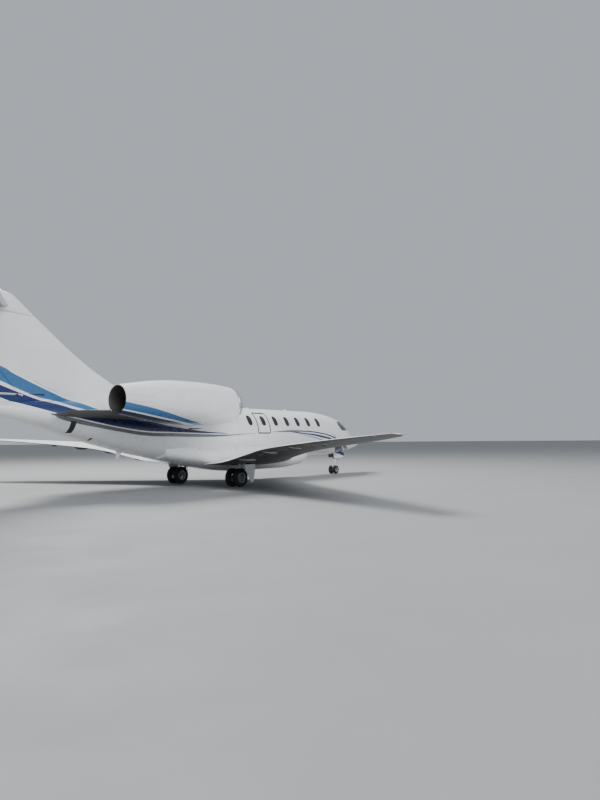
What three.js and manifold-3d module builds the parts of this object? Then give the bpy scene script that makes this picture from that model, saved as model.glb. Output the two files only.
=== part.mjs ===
// A twin-engined business jet with a T-tail, parked on its gear. Millimetres, +Z up.
// X points to the nose, Y to the left wing, and the origin is on the ground at mid length.
// Lengths along the body are given as stations: the distance aft of the nose tip.

import * as THREE from "three";
import { mergeVertices } from "three/addons/utils/BufferGeometryUtils.js";
import Module from "manifold-3d";

const wasm = await Module();
wasm.setup();

// Driving dimensions

const LENGTH = 22050;
const NOSE_X = LENGTH / 2;
const HALF_SPAN = 9740;
const GAP = 0.3; // between pieces that touch
const MOVE_GAP = 6; // between a moving piece and its neighbours

const SKIN = { wall: 75, aftWall: 55, sides: 24, smallSides: 16 };
const SPLIT = { cockpit: 1550, cabin: 4350, aft: 10000, tailcone: 14300, end: 18850 };

// Each fuselage section: station, top, widest level, bottom, half width
const FUSELAGE = [
  [0, 1500, 1460, 1420, 45],
  [90, 1570, 1455, 1365, 130],
  [300, 1645, 1450, 1310, 250],
  [700, 1790, 1490, 1230, 420],
  [1100, 1935, 1540, 1155, 555],
  [1550, 2140, 1620, 1085, 680],
  [2200, 2570, 1750, 1000, 835],
  [2800, 2745, 1860, 960, 925],
  [3600, 2870, 1930, 945, 975],
  [4500, 2935, 1950, 945, 990],
  [11600, 2940, 1950, 955, 990],
  [12900, 2940, 1965, 1030, 955],
  [14000, 2940, 2030, 1175, 895],
  [15000, 2930, 2130, 1400, 800],
  [16400, 2900, 2300, 1755, 620],
  [17500, 2850, 2450, 2085, 430],
  [18850, 2745, 2590, 2430, 165],
];

// Each section of the fairing under the wing: station, top, widest level, bottom, half width
const FAIRING = [
  [4900, 1500, 1200, 945, 420],
  [5380, 1500, 1180, 735, 760],
  [5900, 1520, 1160, 570, 980],
  [7200, 1540, 1140, 480, 1090],
  [9700, 1540, 1140, 485, 1090],
  [11300, 1540, 1170, 680, 1060],
  [12300, 1560, 1250, 870, 930],
  [13300, 1600, 1350, 1060, 700],
];

// Each wing section: distance from centre, leading edge station and level, trailing edge station and level, thickness
const WING = [
  [700, 6440, 915, 11740, 800, 530],
  [1900, 7790, 1050, 11990, 900, 440],
  [3300, 9050, 1200, 12300, 1170, 330],
  [4300, 9757, 1320, 12626, 1360, 285],
  [6500, 11311, 1500, 13343, 1570, 200],
  [9300, 13289, 1710, 14257, 1760, 95],
  [9650, 13560, 1745, 14371, 1780, 60],
  [HALF_SPAN, 13800, 1770, 14400, 1785, 24],
];

// Each tailplane section, with the same columns
const TAILPLANE = [
  [60, 18400, 5420, 20620, 5420, 225],
  [600, 18795, 5440, 20820, 5440, 205],
  [3850, 21290, 5580, 22010, 5580, 75],
  [3975, 21480, 5590, 22050, 5590, 24],
];

// Each fin section: level, leading edge station, trailing edge station, thickness
const FIN = [
  [2650, 12500, 18820, 430],
  [2950, 13350, 19040, 420],
  [3150, 14200, 19187, 410],
  [3470, 14950, 19421, 390],
  [4090, 16050, 19876, 340],
  [5245 - GAP, 17625, 20722, 265],
];

// The fairing on top of the fin: station, top, widest level, bottom, half width
const FIN_CAP = [
  [17640, 5262, 5255, 5245, 12],
  [18000, 5550, 5330, 5245, 75],
  [18350, 5790, 5400, 5245, 120],
  [18800, 5855, 5420, 5245, 145],
  [19600, 5860, 5430, 5245, 150],
  [20500, 5760, 5430, 5290, 110],
  [21100, 5600, 5440, 5370, 55],
  [21350, 5500, 5450, 5420, 14],
];

// How a section's edge runs from front to back: share of chord, share of half thickness
const AEROFOIL = [
  [0.0, 0.0],
  [0.012, 0.3],
  [0.06, 0.62],
  [0.2, 0.93],
  [0.4, 1.0],
  [0.7, 0.66],
  [1.0, 0.035],
];

const NACELLE = { across: 1900, level: 2860, sides: 20 };
// Outside of the nacelle: station, radius
const NACELLE_OUTSIDE = [
  [11420, 530],
  [11470, 575],
  [11750, 632],
  [12400, 682],
  [13300, 700],
  [14200, 678],
  [15000, 608],
  [15700, 500],
  [16150, 425],
];
// Inside of the nacelle, from the nozzle forward
const NACELLE_INSIDE = [
  [16150, 405],
  [15600, 440],
  [14750, 505],
  [12000, 505],
  [11650, 480],
  [11450, 500],
];
const FAN = { front: 12080, back: 12290, radius: 488, hub: 150, blades: 18 };
const ENGINE = { front: 12300, back: 14700, tail: 15250, tailRadius: 190 };

// Each engine pylon section: distance from centre, then as the wing's columns
const PYLON = [
  [300, 12000, 2400, 17560, 2345, 270],
  [1300, 12350, 2520, 16950, 2535, 250],
  [1520, 12450, 2560, 16150, 2550, 240],
  [1900, 12700, 2640, 15500, 2610, 230],
];

const WINDOWS = {
  stations: [4740, 5490, 6250, 6980, 7740, 8500, 9300],
  level: 2420,
  halfWidth: 138,
  halfHeight: 200,
  corners: 8,
};
const EXIT = { front: 8160, back: 8920, bottom: 1920, top: 2740, edge: 3 };
const DOOR = { front: 3350, back: 4130, bottom: 1150, top: 2600, edge: 6, hingeOut: 594, hingeUp: 1128 };
const KNUCKLE = { radius: 14, length: 60, stations: [3450, 3970], strap: 58 };
const BELT = { front: 4500, back: 9560, bottom: 2190, top: 2650, thick: 8 };
const GLASS = { inset: 8, thick: 16, edge: 1 };
// Outlines of the glazing in side view: station, level
const WINDSHIELD = [
  [1500, 2110],
  [2040, 2110],
  [2290, 2500],
  [1500, 2500],
];
const SIDE_WINDOW = [
  [2150, 2110],
  [2760, 2110],
  [2930, 2300],
  [2900, 2470],
  [2390, 2490],
];

const FLOOR = { front: 1760, entry: 3230, cabin: 4250, back: 9880, low: 1130, high: 1330, thick: 40 };
const SEATS = { stations: [4650, 6330, 6850, 8530], facing: [-1, 1, -1, 1], across: 420, width: 460 };

const WHEELS = {
  main: { station: 10780, across: 1550, half: 190, radius: 330, width: 168, rim: 178, shaft: 28, sides: 20 },
  nose: { station: 2170, across: 0, half: 130, radius: 203, width: 112, rim: 102, shaft: 18, sides: 16 },
};
const NOSE_WELL = { front: 1250, back: 2700, halfWidth: 190, top: 1240, lining: 40 };
const MAIN_WELL = { front: 10150, back: 10950, inner: 1390, outer: 1870, top: 900 };

// Hinge lines of the controls on the right side: station, distance from centre, level, at both ends
const AILERON = { inner: [12790, 6350, 1545], outer: [13960, 9100, 1742], relief: 24, reach: 900 };
const FLAP = { inner: [10930, 1130, 845], outer: [12660, 6150, 1525], relief: 1, reach: 1400 };
const ELEVATOR = { inner: [20090, 380, 5431], outer: [21745, 3740, 5575], relief: 24, reach: 900 };
const RUDDER = { bottom: [18110, 2990], top: [19935, 5190], relief: 29, reach: 1400, endGap: 34 };
const END_GAP = 16;
// Each hinge fairing under the wing: its hinge line, distance from centre, half width, reach ahead and behind, depth
const TRACKS = [
  [FLAP, 2750, 70, 420, 520, 105],
  [FLAP, 4100, 65, 380, 440, 95],
  [FLAP, 5450, 60, 340, 360, 85],
  [AILERON, 6800, 42, 300, -30, 60],
];
// How a hinge fairing swells and tapers: share of its length, share of its full size
const TRACK_FORM = [
  [0, 0.06],
  [0.12, 0.55],
  [0.35, 0.95],
  [0.65, 1],
  [0.88, 0.6],
  [1, 0.08],
];
// Its section: share of the half width, share of the depth
const TRACK_SECTION = [
  [1, 0],
  [1, 0.35],
  [0.6, 0.85],
  [0, 1],
  [-0.6, 0.85],
  [-1, 0.35],
  [-1, 0],
];
const TRACK_SINK = 15; // into the wing

const at = (station) => NOSE_X - station;

// Shapes

// A closed three.js shape as a solid that can be joined and cut, with its faces turned outwards
function solid(geometry) {
  const loose = geometry.index ? geometry.toNonIndexed() : geometry;
  const bare = new THREE.BufferGeometry();
  bare.setAttribute("position", loose.getAttribute("position"));
  const merged = mergeVertices(bare, 1e-3);
  const points = merged.getAttribute("position").array;
  const corners = merged.index.array;
  const kept = [];
  let volume = 0;
  const [p, q, r] = [new THREE.Vector3(), new THREE.Vector3(), new THREE.Vector3()];
  for (let i = 0; i < corners.length; i += 3) {
    const [a, b, c] = corners.slice(i, i + 3);
    if (a === b || b === c || c === a) continue;
    kept.push([a, b, c]);
    p.fromArray(points, 3 * a);
    volume += p.dot(q.fromArray(points, 3 * b).cross(r.fromArray(points, 3 * c)));
  }
  const triVerts = new Uint32Array(kept.flatMap(([a, b, c]) => (volume < 0 ? [a, c, b] : [a, b, c])));
  return new wasm.Manifold(new wasm.Mesh({ numProp: 3, vertProperties: points, triVerts }));
}

// The three.js geometry of a solid
function geometryOf(made) {
  const mesh = made.getMesh();
  const geometry = new THREE.BufferGeometry();
  const points = new Float32Array(mesh.numVert * 3);
  for (let i = 0; i < mesh.numVert; i++) {
    points.set(mesh.vertProperties.subarray(i * mesh.numProp, i * mesh.numProp + 3), i * 3);
  }
  geometry.setAttribute("position", new THREE.BufferAttribute(points, 3));
  geometry.setIndex(new THREE.BufferAttribute(mesh.triVerts, 1));
  geometry.computeVertexNormals();
  return geometry;
}

// The same solid on the other side of the aircraft
function mirrored(made) {
  return solid(geometryOf(made).scale(1, -1, 1));
}

// The largest body of a solid that a cut may have left in pieces
function mainBody(made) {
  return made.decompose().sort((a, b) => b.volume() - a.volume())[0];
}

// A skin through rings of equal length, closed by a flat cap at each end
function loft(rings) {
  const count = rings[0].length;
  const corners = [];
  for (let row = 0; row + 1 < rings.length; row++) {
    for (let i = 0; i < count; i++) {
      const [a, b] = [row * count + i, row * count + ((i + 1) % count)];
      const mirrored = i >= count / 2; // keeps both sides of a symmetric skin alike
      if (mirrored) corners.push(a, b, a + count, b, b + count, a + count);
      else corners.push(a, b, b + count, a, b + count, a + count);
    }
  }
  const last = (rings.length - 1) * count;
  for (let i = 1; i + 1 < count; i++) {
    corners.push(0, i + 1, i, last, last + i, last + i + 1);
  }
  const geometry = new THREE.BufferGeometry();
  geometry.setAttribute("position", new THREE.Float32BufferAttribute(rings.flat(2), 3));
  geometry.setIndex(corners);
  return solid(geometry);
}

// A block between two stations, two distances from the centre and two levels
function block(front, back, y0, y1, z0, z1) {
  const box = new THREE.BoxGeometry(back - front, y1 - y0, z1 - z0);
  return solid(box.translate(at((front + back) / 2), (y0 + y1) / 2, (z0 + z1) / 2));
}

// A side view outline of [station, level] points, as wide as from y0 to y1
function sidePlate(outline, y0, y1) {
  const shape = new THREE.Shape(outline.map(([station, z]) => new THREE.Vector2(at(station), z)));
  const plate = new THREE.ExtrudeGeometry(shape, { depth: y1 - y0, bevelEnabled: false });
  return solid(plate.rotateX(Math.PI / 2).translate(0, y1, 0));
}

// A front view outline of [distance, level] points, between two stations
function frontPlate(outline, front, back) {
  const shape = new THREE.Shape(outline.map(([y, z]) => new THREE.Vector2(y, z)));
  const plate = new THREE.ExtrudeGeometry(shape, { depth: back - front, bevelEnabled: false });
  const turn = new THREE.Matrix4().makeBasis(
    new THREE.Vector3(0, 1, 0),
    new THREE.Vector3(0, 0, 1),
    new THREE.Vector3(1, 0, 0),
  );
  return solid(plate.applyMatrix4(turn).translate(at(back), 0, 0));
}

// A round bar from one [station, distance, level] point to another
function rod(from, to, radius, sides = 14) {
  const [a, b] = [from, to].map(([station, y, z]) => new THREE.Vector3(at(station), y, z));
  const bar = new THREE.CylinderGeometry(radius, radius, a.distanceTo(b), sides);
  const along = b.clone().sub(a).normalize();
  bar.applyQuaternion(new THREE.Quaternion().setFromUnitVectors(new THREE.Vector3(0, 1, 0), along));
  return solid(bar.translate(...a.add(b).multiplyScalar(0.5)));
}

// A turned shape about the X or Y axis through a point, from [distance along the axis, radius] points
function turned(profile, sides, axis, centre) {
  const points = profile.map(([along, radius]) => new THREE.Vector2(radius, along));
  const start = axis === "y" ? Math.PI / sides : 0; // a wheel stands on a side, not on a corner
  const shape = new THREE.LatheGeometry(points, sides, start);
  if (axis === "x") shape.rotateZ(-Math.PI / 2);
  return solid(shape.translate(...centre));
}

// Fuselage and fairing

// A table's row at any station, by straight lines between its rows
function rowAt(table, station) {
  const next = Math.max(1, table.findIndex((row) => row[0] >= station));
  const [low, high] = [table[next - 1], table[next]];
  const share = (station - low[0]) / (high[0] - low[0]);
  return low.map((value, column) => value + share * (high[column] - value));
}

// The ring of one section; squareness 1 is an ellipse and less is boxier
function sectionRing([station, top, middle, bottom, half], grow, squareness, sides) {
  const ring = [];
  const bend = (value) => Math.sign(value) * Math.abs(value) ** squareness;
  for (let i = 0; i < sides; i++) {
    const angle = (2 * Math.PI * i) / sides;
    const up = Math.cos(angle) > 0 ? top - middle + grow : middle - bottom + grow;
    const low = Math.cos(angle) < 0 ? squareness : 1;
    const height = low === 1 ? Math.cos(angle) : bend(Math.cos(angle));
    const width = low === 1 ? Math.sin(angle) : bend(Math.sin(angle));
    ring.push([at(station), (half + grow) * width, middle + up * height]);
  }
  return ring;
}

function bodyOf(table, from, to, grow = 0, squareness = 1, sides = SKIN.sides) {
  const between = table.filter(([station]) => station > from + 1 && station < to - 1);
  const rows = [rowAt(table, from), ...between, rowAt(table, to)];
  return loft(rows.map((row) => sectionRing(row, grow, squareness, sides)));
}

const fuselage = (from, to, grow) => bodyOf(FUSELAGE, from, to, grow);
const fairing = (grow) => bodyOf(FAIRING, FAIRING[0][0], FAIRING.at(-1)[0], grow, 0.62);
const fuselageKeepOut = fuselage(0, SPLIT.end, GAP);
const fairingKeepOut = fairing(GAP);

// A layer of the skin between two depths below the surface
function skinLayer(from, to, outer, inner) {
  return fuselage(from, to, -outer).subtract(fuselage(from - 1, to + 1, -inner));
}

const noseWell = block(
  NOSE_WELL.front,
  NOSE_WELL.back,
  -NOSE_WELL.halfWidth,
  NOSE_WELL.halfWidth,
  0,
  NOSE_WELL.top,
);
const noseWellLining = block(
  NOSE_WELL.front,
  NOSE_WELL.back + NOSE_WELL.lining,
  -NOSE_WELL.halfWidth - NOSE_WELL.lining,
  NOSE_WELL.halfWidth + NOSE_WELL.lining,
  0,
  NOSE_WELL.top + NOSE_WELL.lining,
);

// An outline moved inwards towards its middle
function shrunk(outline, edge) {
  const middle = outline.reduce((sum, [u, v]) => [sum[0] + u / outline.length, sum[1] + v / outline.length], [0, 0]);
  return outline.map(([u, v]) => {
    const reach = Math.hypot(u - middle[0], v - middle[1]);
    const share = (reach - edge) / reach;
    return [middle[0] + (u - middle[0]) * share, middle[1] + (v - middle[1]) * share];
  });
}

function windowOutline(station, edge) {
  const outline = [];
  for (let i = 0; i < WINDOWS.corners; i++) {
    const angle = (2 * Math.PI * (i + 0.5)) / WINDOWS.corners;
    const bend = (value) => Math.sign(value) * Math.abs(value) ** 0.75;
    outline.push([
      station + (WINDOWS.halfWidth - edge) * bend(Math.cos(angle)),
      WINDOWS.level + (WINDOWS.halfHeight - edge) * bend(Math.sin(angle)),
    ]);
  }
  return outline;
}

const OUTBOARD = 1200;
// The window holes of one side, or the smaller outlines of their panes
function windowRow(side, edge) {
  const [y0, y1] = side < 0 ? [-OUTBOARD, -500] : [500, OUTBOARD];
  const holes = WINDOWS.stations.map((station) => sidePlate(windowOutline(station, edge), y0, y1));
  return holes.reduce((all, hole) => all.add(hole));
}

const exitBlock = (edge) =>
  block(EXIT.front + edge, EXIT.back - edge, -OUTBOARD, -400, EXIT.bottom + edge, EXIT.top - edge);
const doorBlock = (edge) =>
  block(DOOR.front + edge, DOOR.back - edge, 300, OUTBOARD, DOOR.bottom + edge, DOOR.top - edge);

function glazing(outline, y0, y1, edge) {
  return sidePlate(shrunk(outline, edge), y0, y1);
}
const PANES = {
  windshield_right: [WINDSHIELD, -OUTBOARD, -40],
  windshield_left: [WINDSHIELD, 40, OUTBOARD],
  cockpit_window_right: [SIDE_WINDOW, -OUTBOARD, -400],
  cockpit_window_left: [SIDE_WINDOW, 400, OUTBOARD],
};

const pieces = {};

pieces.nose_section = fuselage(0, SPLIT.cockpit - GAP, 0).subtract(noseWell);

const cockpitRoom = fuselage(SPLIT.cockpit + SKIN.wall, SPLIT.cabin + 1, -SKIN.wall);
pieces.nose_wheel_well = noseWellLining
  .subtract(noseWell)
  .intersect(fuselage(SPLIT.cockpit + SKIN.wall + GAP, SPLIT.cabin, -SKIN.wall - GAP));
pieces.forward_fuselage = fuselage(SPLIT.cockpit, SPLIT.cabin - GAP, 0)
  .subtract(cockpitRoom)
  .subtract(noseWell)
  .subtract(doorBlock(0));
for (const [name, [outline, y0, y1]] of Object.entries(PANES)) {
  pieces.forward_fuselage = pieces.forward_fuselage.subtract(glazing(outline, y0, y1, 0));
  pieces[name] = skinLayer(SPLIT.cockpit + 5, 3200, GLASS.inset, GLASS.inset + GLASS.thick).intersect(
    glazing(outline, y0, y1, GLASS.edge),
  );
}

const cabinRoom = fuselage(SPLIT.cabin - 1, SPLIT.aft - SKIN.wall, -SKIN.wall);
const cabinShell = fuselage(SPLIT.cabin, SPLIT.aft - GAP, 0).subtract(cabinRoom);
const rightWindows = windowRow(-1, 0);
const leftWindows = windowRow(1, 0);
pieces.cabin_fuselage = cabinShell.subtract(rightWindows).subtract(leftWindows).subtract(exitBlock(0));
pieces.emergency_exit = cabinShell.intersect(exitBlock(EXIT.edge)).subtract(rightWindows);
for (const [name, side] of [["window_band_right", -1], ["window_band_left", 1]]) {
  const [y0, y1] = side < 0 ? [-OUTBOARD, -500] : [500, OUTBOARD];
  const inner = SKIN.wall + GAP;
  const band = skinLayer(BELT.front, BELT.back, inner, inner + BELT.thick).intersect(
    block(BELT.front, BELT.back, y0, y1, BELT.bottom, BELT.top),
  );
  const panes = skinLayer(BELT.front, BELT.back, GLASS.inset, inner + 1).intersect(windowRow(side, GLASS.edge));
  pieces[name] = band.add(panes);
}

pieces.aft_fuselage = fuselage(SPLIT.aft, SPLIT.tailcone - GAP, 0).subtract(
  fuselage(SPLIT.aft + SKIN.aftWall, SPLIT.tailcone + 1, -SKIN.aftWall),
);
const TAILPIPE = { front: 18200, radius: 120, level: 2588 };
pieces.tail_cone = fuselage(SPLIT.tailcone, SPLIT.end, 0)
  .subtract(fuselage(SPLIT.tailcone - 1, 17900, -SKIN.aftWall))
  .subtract(rod([TAILPIPE.front, 0, TAILPIPE.level], [SPLIT.end + 10, 0, TAILPIPE.level], TAILPIPE.radius));
pieces.belly_fairing = mainBody(fairing(0).subtract(fuselageKeepOut));

// Wings and tail, made for the right side

// The ring of one section at a fixed distance from the centre
function wingRing([across, frontStation, frontLevel, backStation, backLevel, thickness], upper = 0.5) {
  const point = ([share, height], side) => [
    at(frontStation + share * (backStation - frontStation)),
    -across,
    frontLevel + share * (backLevel - frontLevel) + side * height * thickness,
  ];
  const over = AEROFOIL.map((step) => point(step, upper));
  const under = AEROFOIL.slice(1).map((step) => point(step, upper - 1));
  return [...over, ...under.reverse()];
}

// The ring of one fin section at a fixed level
function finRing([level, frontStation, backStation, thickness]) {
  const point = ([share, height], side) => [
    at(frontStation + share * (backStation - frontStation)),
    (side * height * thickness) / 2,
    level,
  ];
  const left = AEROFOIL.map((step) => point(step, 1));
  const right = AEROFOIL.slice(1).map((step) => point(step, -1));
  return [...left, ...right.reverse()];
}

const WING_UPPER = 0.62; // share of the thickness that is above the chord line
const wingShape = loft(WING.map((row) => wingRing(row, WING_UPPER)));
const tailplaneShape = loft(TAILPLANE.map((row) => wingRing(row)));
const finShape = loft(FIN.map(finRing));

const hingeLine = (from, to) =>
  [from, to].map(([station, across, level]) => new THREE.Vector3(at(station), -across, level));

// A bar behind a hinge line: its nose lies on the line and its two front faces slope back by the relief
function hingeBar([a, b], front, relief, reach) {
  const axis = b.clone().sub(a).normalize();
  const aft = new THREE.Vector3(-1, 0, 0);
  aft.addScaledVector(axis, -aft.dot(axis)).normalize();
  const up = new THREE.Vector3().crossVectors(axis, aft);
  const half = 450;
  const slope = front + half * Math.tan(THREE.MathUtils.degToRad(relief));
  const outline = [[front, 0], [slope, half], [reach, half], [reach, -half], [slope, -half]];
  const over = 600;
  return loft(
    [a.clone().addScaledVector(axis, -over), b.clone().addScaledVector(axis, over)].map((end) =>
      outline.map(([back, high]) => end.clone().addScaledVector(aft, back).addScaledVector(up, high).toArray()),
    ),
  );
}

const FAR = 12000;
const spanSlab = (inner, outer) => block(0, LENGTH + 100, -outer, -inner, 0, FAR);
const levelSlab = (low, high) => block(0, LENGTH + 100, -FAR, FAR, low, high);

const aileronLine = hingeLine(AILERON.inner, AILERON.outer);
const flapLine = hingeLine(FLAP.inner, FLAP.outer);
const elevatorLine = hingeLine(ELEVATOR.inner, ELEVATOR.outer);
const rudderLine = [RUDDER.bottom, RUDDER.top].map(([station, level]) => new THREE.Vector3(at(station), 0, level));

const LUG = { halfWidth: 25, halfHeight: 12, length: 60, places: [0.08, 0.5, 0.92] };

// The space that a control needs in the surface that carries it, less the lugs that reach its hinge line
function controlCut(line, reach, slab) {
  const [a, b] = line;
  const axis = b.clone().sub(a).normalize();
  const aft = new THREE.Vector3(-1, 0, 0);
  aft.addScaledVector(axis, -aft.dot(axis)).normalize();
  const up = new THREE.Vector3().crossVectors(axis, aft);
  const corners = [
    [-LUG.length, -LUG.halfHeight],
    [-LUG.length, LUG.halfHeight],
    [-GAP, LUG.halfHeight],
    [-GAP, -LUG.halfHeight],
  ];
  const lugs = LUG.places.map((place) => {
    const middle = a.clone().lerp(b, place);
    const ring = (along) =>
      corners.map(([back, high]) =>
        middle.clone().addScaledVector(axis, along).addScaledVector(aft, back).addScaledVector(up, high).toArray(),
      );
    return loft([ring(-LUG.halfWidth), ring(LUG.halfWidth)]);
  });
  return lugs.reduce((cut, lug) => cut.subtract(lug), hingeBar(line, -MOVE_GAP, 0, reach).intersect(slab));
}

const aileronCut = controlCut(
  aileronLine,
  AILERON.reach,
  spanSlab(AILERON.inner[1] - END_GAP, AILERON.outer[1] + END_GAP),
);
const elevatorCut = controlCut(
  elevatorLine,
  ELEVATOR.reach,
  spanSlab(ELEVATOR.inner[1] - END_GAP, ELEVATOR.outer[1] + END_GAP),
);
const rudderCut = controlCut(rudderLine, RUDDER.reach, levelSlab(RUDDER.bottom[1] - RUDDER.endGap, FAR / 2));
const flapCut = hingeBar(flapLine, 0, 0, FLAP.reach).intersect(spanSlab(WING[0][0] - 1, FLAP.outer[1]));
const mainWell = block(MAIN_WELL.front, MAIN_WELL.back, -MAIN_WELL.outer, -MAIN_WELL.inner, 0, MAIN_WELL.top);

// The level of the wing's underside at a distance from the centre and a station
function undersideAt(across, station) {
  const [, front, low, back, high, thickness] = rowAt(WING, across);
  const share = (station - front) / (back - front);
  const height = rowAt(AEROFOIL, share)[1];
  return low + share * (high - low) - (1 - WING_UPPER) * height * thickness;
}

function trackFairing([hinge, across, halfWidth, ahead, behind, depth]) {
  const [from, to] = [hinge.inner, hinge.outer];
  const middle = from[0] + ((across - from[1]) / (to[1] - from[1])) * (to[0] - from[0]);
  const ring = ([share, size]) => {
    const station = middle - ahead + share * (ahead + behind);
    const level = undersideAt(across, station);
    return TRACK_SECTION.map(([wide, deep]) => [
      at(station),
      -across + wide * halfWidth * size,
      level + (deep === 0 ? TRACK_SINK : -deep * depth * size),
    ]);
  };
  return loft(TRACK_FORM.map(ring));
}
const FLAP_CLEAR = 10; // added to the wing's thickness where the fairings pass under the flap
const flapKeepOut = loft(WING.map((row) => wingRing([...row.slice(0, 5), row[5] + FLAP_CLEAR], WING_UPPER)))
  .intersect(hingeBar(flapLine, 0, 0, FLAP.reach))
  .intersect(spanSlab(WING[0][0] - 1, FLAP.outer[1]));
const trackFairings = TRACKS.map(trackFairing).reduce((all, one) => all.add(one)).subtract(flapKeepOut);

const finCap = (grow) => bodyOf(FIN_CAP, FIN_CAP[0][0], FIN_CAP.at(-1)[0], grow, 0.5, SKIN.smallSides);

const rightSide = {
  wing: mainBody(
    wingShape
      .subtract(fuselageKeepOut)
      .subtract(fairingKeepOut)
      .subtract(aileronCut)
      .subtract(flapCut)
      .subtract(mainWell)
      .add(trackFairings),
  ),
  aileron: wingShape
    .intersect(hingeBar(aileronLine, 0, AILERON.relief, AILERON.reach))
    .intersect(spanSlab(AILERON.inner[1], AILERON.outer[1])),
  flap: mainBody(
    wingShape
      .intersect(hingeBar(flapLine, GAP, 0, FLAP.reach))
      .intersect(spanSlab(WING[0][0] - 1, FLAP.outer[1] - GAP))
      .subtract(fairingKeepOut)
      .subtract(fuselageKeepOut),
  ),
  tailplane: mainBody(tailplaneShape.subtract(finCap(GAP)).subtract(elevatorCut)),
  elevator: tailplaneShape
    .intersect(hingeBar(elevatorLine, 0, ELEVATOR.relief, ELEVATOR.reach))
    .intersect(spanSlab(ELEVATOR.inner[1], ELEVATOR.outer[1])),
};

pieces.fin = mainBody(finShape.subtract(fuselageKeepOut).subtract(rudderCut));
pieces.rudder = finShape
  .intersect(hingeBar(rudderLine, 0, RUDDER.relief, RUDDER.reach))
  .intersect(levelSlab(RUDDER.bottom[1], RUDDER.top[1]));
pieces.fin_cap = finCap(0);

// Engines, made for the right side

const engineCentre = [0, -NACELLE.across, NACELLE.level];
const onAxis = (profile) => profile.map(([station, radius]) => [at(station), radius]);
const nacelleRing = [...NACELLE_OUTSIDE, ...NACELLE_INSIDE, NACELLE_OUTSIDE[0]];
const nacelleFill = [
  [NACELLE_OUTSIDE[0][0], 0],
  ...NACELLE_OUTSIDE.map(([station, radius]) => [station, radius + GAP]),
  [NACELLE_OUTSIDE.at(-1)[0], 0],
];
const ductRadius = 505 - GAP;

rightSide.nacelle = turned(onAxis(nacelleRing), NACELLE.sides, "x", engineCentre);
rightSide.engine = turned(
  onAxis([
    [ENGINE.front, 0],
    [ENGINE.front, ductRadius],
    [ENGINE.back, ductRadius],
    [ENGINE.tail, ENGINE.tailRadius],
    [ENGINE.tail, 0],
  ]),
  NACELLE.sides,
  "x",
  engineCentre,
);

function fanBlade(index) {
  const angle = (2 * Math.PI * index) / FAN.blades;
  const ring = (radius, twist, thickness) =>
    [
      [FAN.front, -twist - thickness],
      [FAN.front, -twist + thickness],
      [FAN.back, twist + thickness],
      [FAN.back, twist - thickness],
    ].map(([station, offset]) => [
      at(station),
      engineCentre[1] + radius * Math.sin(angle) + offset * Math.cos(angle),
      engineCentre[2] + radius * Math.cos(angle) - offset * Math.sin(angle),
    ]);
  return loft([ring(FAN.hub - 20, 22, 9), ring(FAN.radius, 88, 4)]);
}
const fanHub = turned(
  onAxis([
    [FAN.front - 240, 0],
    [FAN.front - 190, 55],
    [FAN.front, FAN.hub],
    [ENGINE.front - GAP, FAN.hub],
    [ENGINE.front - GAP, 0],
  ]),
  FAN.blades,
  "x",
  engineCentre,
);
rightSide.fan = fanHub;
for (let index = 0; index < FAN.blades; index++) rightSide.fan = rightSide.fan.add(fanBlade(index));
rightSide.pylon = mainBody(
  loft(PYLON.map((row) => wingRing(row)))
    .subtract(fuselageKeepOut)
    .subtract(turned(onAxis(nacelleFill), NACELLE.sides, "x", engineCentre)),
);

// Landing gear

// Tyre cross-section: share of the half width, share of the way from the rim to the tread
const TYRE = [
  [-0.8, 0],
  [-1, 0.25],
  [-0.96, 0.66],
  [-0.5, 1],
  [0.5, 1],
  [0.96, 0.66],
  [1, 0.25],
  [0.8, 0],
];
// Hub cross-section, seen from its dished side: share of the half width, share of the rim radius
const HUB = [
  [0.75, 0],
  [0.7, 0.3],
  [0.2, 0.42],
  [0.2, 0.76],
  [0.8, 1],
  [-0.8, 1],
  [-0.25, 0.6],
  [-0.25, 0],
];

function tyre(wheel, y) {
  const tread = wheel.radius / Math.cos(Math.PI / wheel.sides);
  const profile = TYRE.map(([wide, out]) => [
    (wide * wheel.width) / 2,
    wheel.rim + GAP + out * (tread - wheel.rim - GAP),
  ]);
  return turned([...profile, profile[0]], wheel.sides, "y", [at(wheel.station), y, wheel.radius]);
}

// The bore that a wheel set's shaft turns in, as wide as its corners need
function shaftBore(wheel, middle, half) {
  const radius = (wheel.shaft + GAP) / Math.cos(Math.PI / wheel.sides);
  const ends = [-half, half].map((side) => [wheel.station, middle + side, wheel.radius]);
  return rod(...ends, radius, wheel.sides);
}

// Two hubs on the shaft that turns with them
function hubPair(wheel, middle) {
  const hub = (side) =>
    turned(
      HUB.map(([wide, out]) => [(side * wide * wheel.width) / 2, out * wheel.rim]),
      wheel.sides,
      "y",
      [at(wheel.station), middle + side * wheel.half, wheel.radius],
    );
  const ends = [-1, 1].map((side) => [wheel.station, middle + side * wheel.half, wheel.radius]);
  return hub(-1).add(hub(1)).add(rod(...ends, wheel.shaft, 12));
}

const MAIN_LEG = {
  strut: 10380,
  strutRadius: 62,
  strutBottom: 400,
  arm: 40,
  shockRadius: 36,
  // Trailing arm in side view: station, level
  armOutline: [
    [10310, 330],
    [10310, 460],
    [10460, 480],
    [10800, 395],
    [10865, 330],
    [10830, 265],
    [10700, 265],
    [10450, 330],
  ],
};
const BRAKE = { inner: 39, outer: 96, radius: 128 };
const MAIN_DOOR = {
  y: 2000,
  thick: 24,
  // Door in side view: station, level
  outline: [
    [10290, 800],
    [10880, 800],
    [10720, 470],
    [10530, 180],
    [10470, 150],
    [10400, 165],
    [10340, 350],
  ],
  bracket: [10400, 10520, 700, 750],
};

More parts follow.
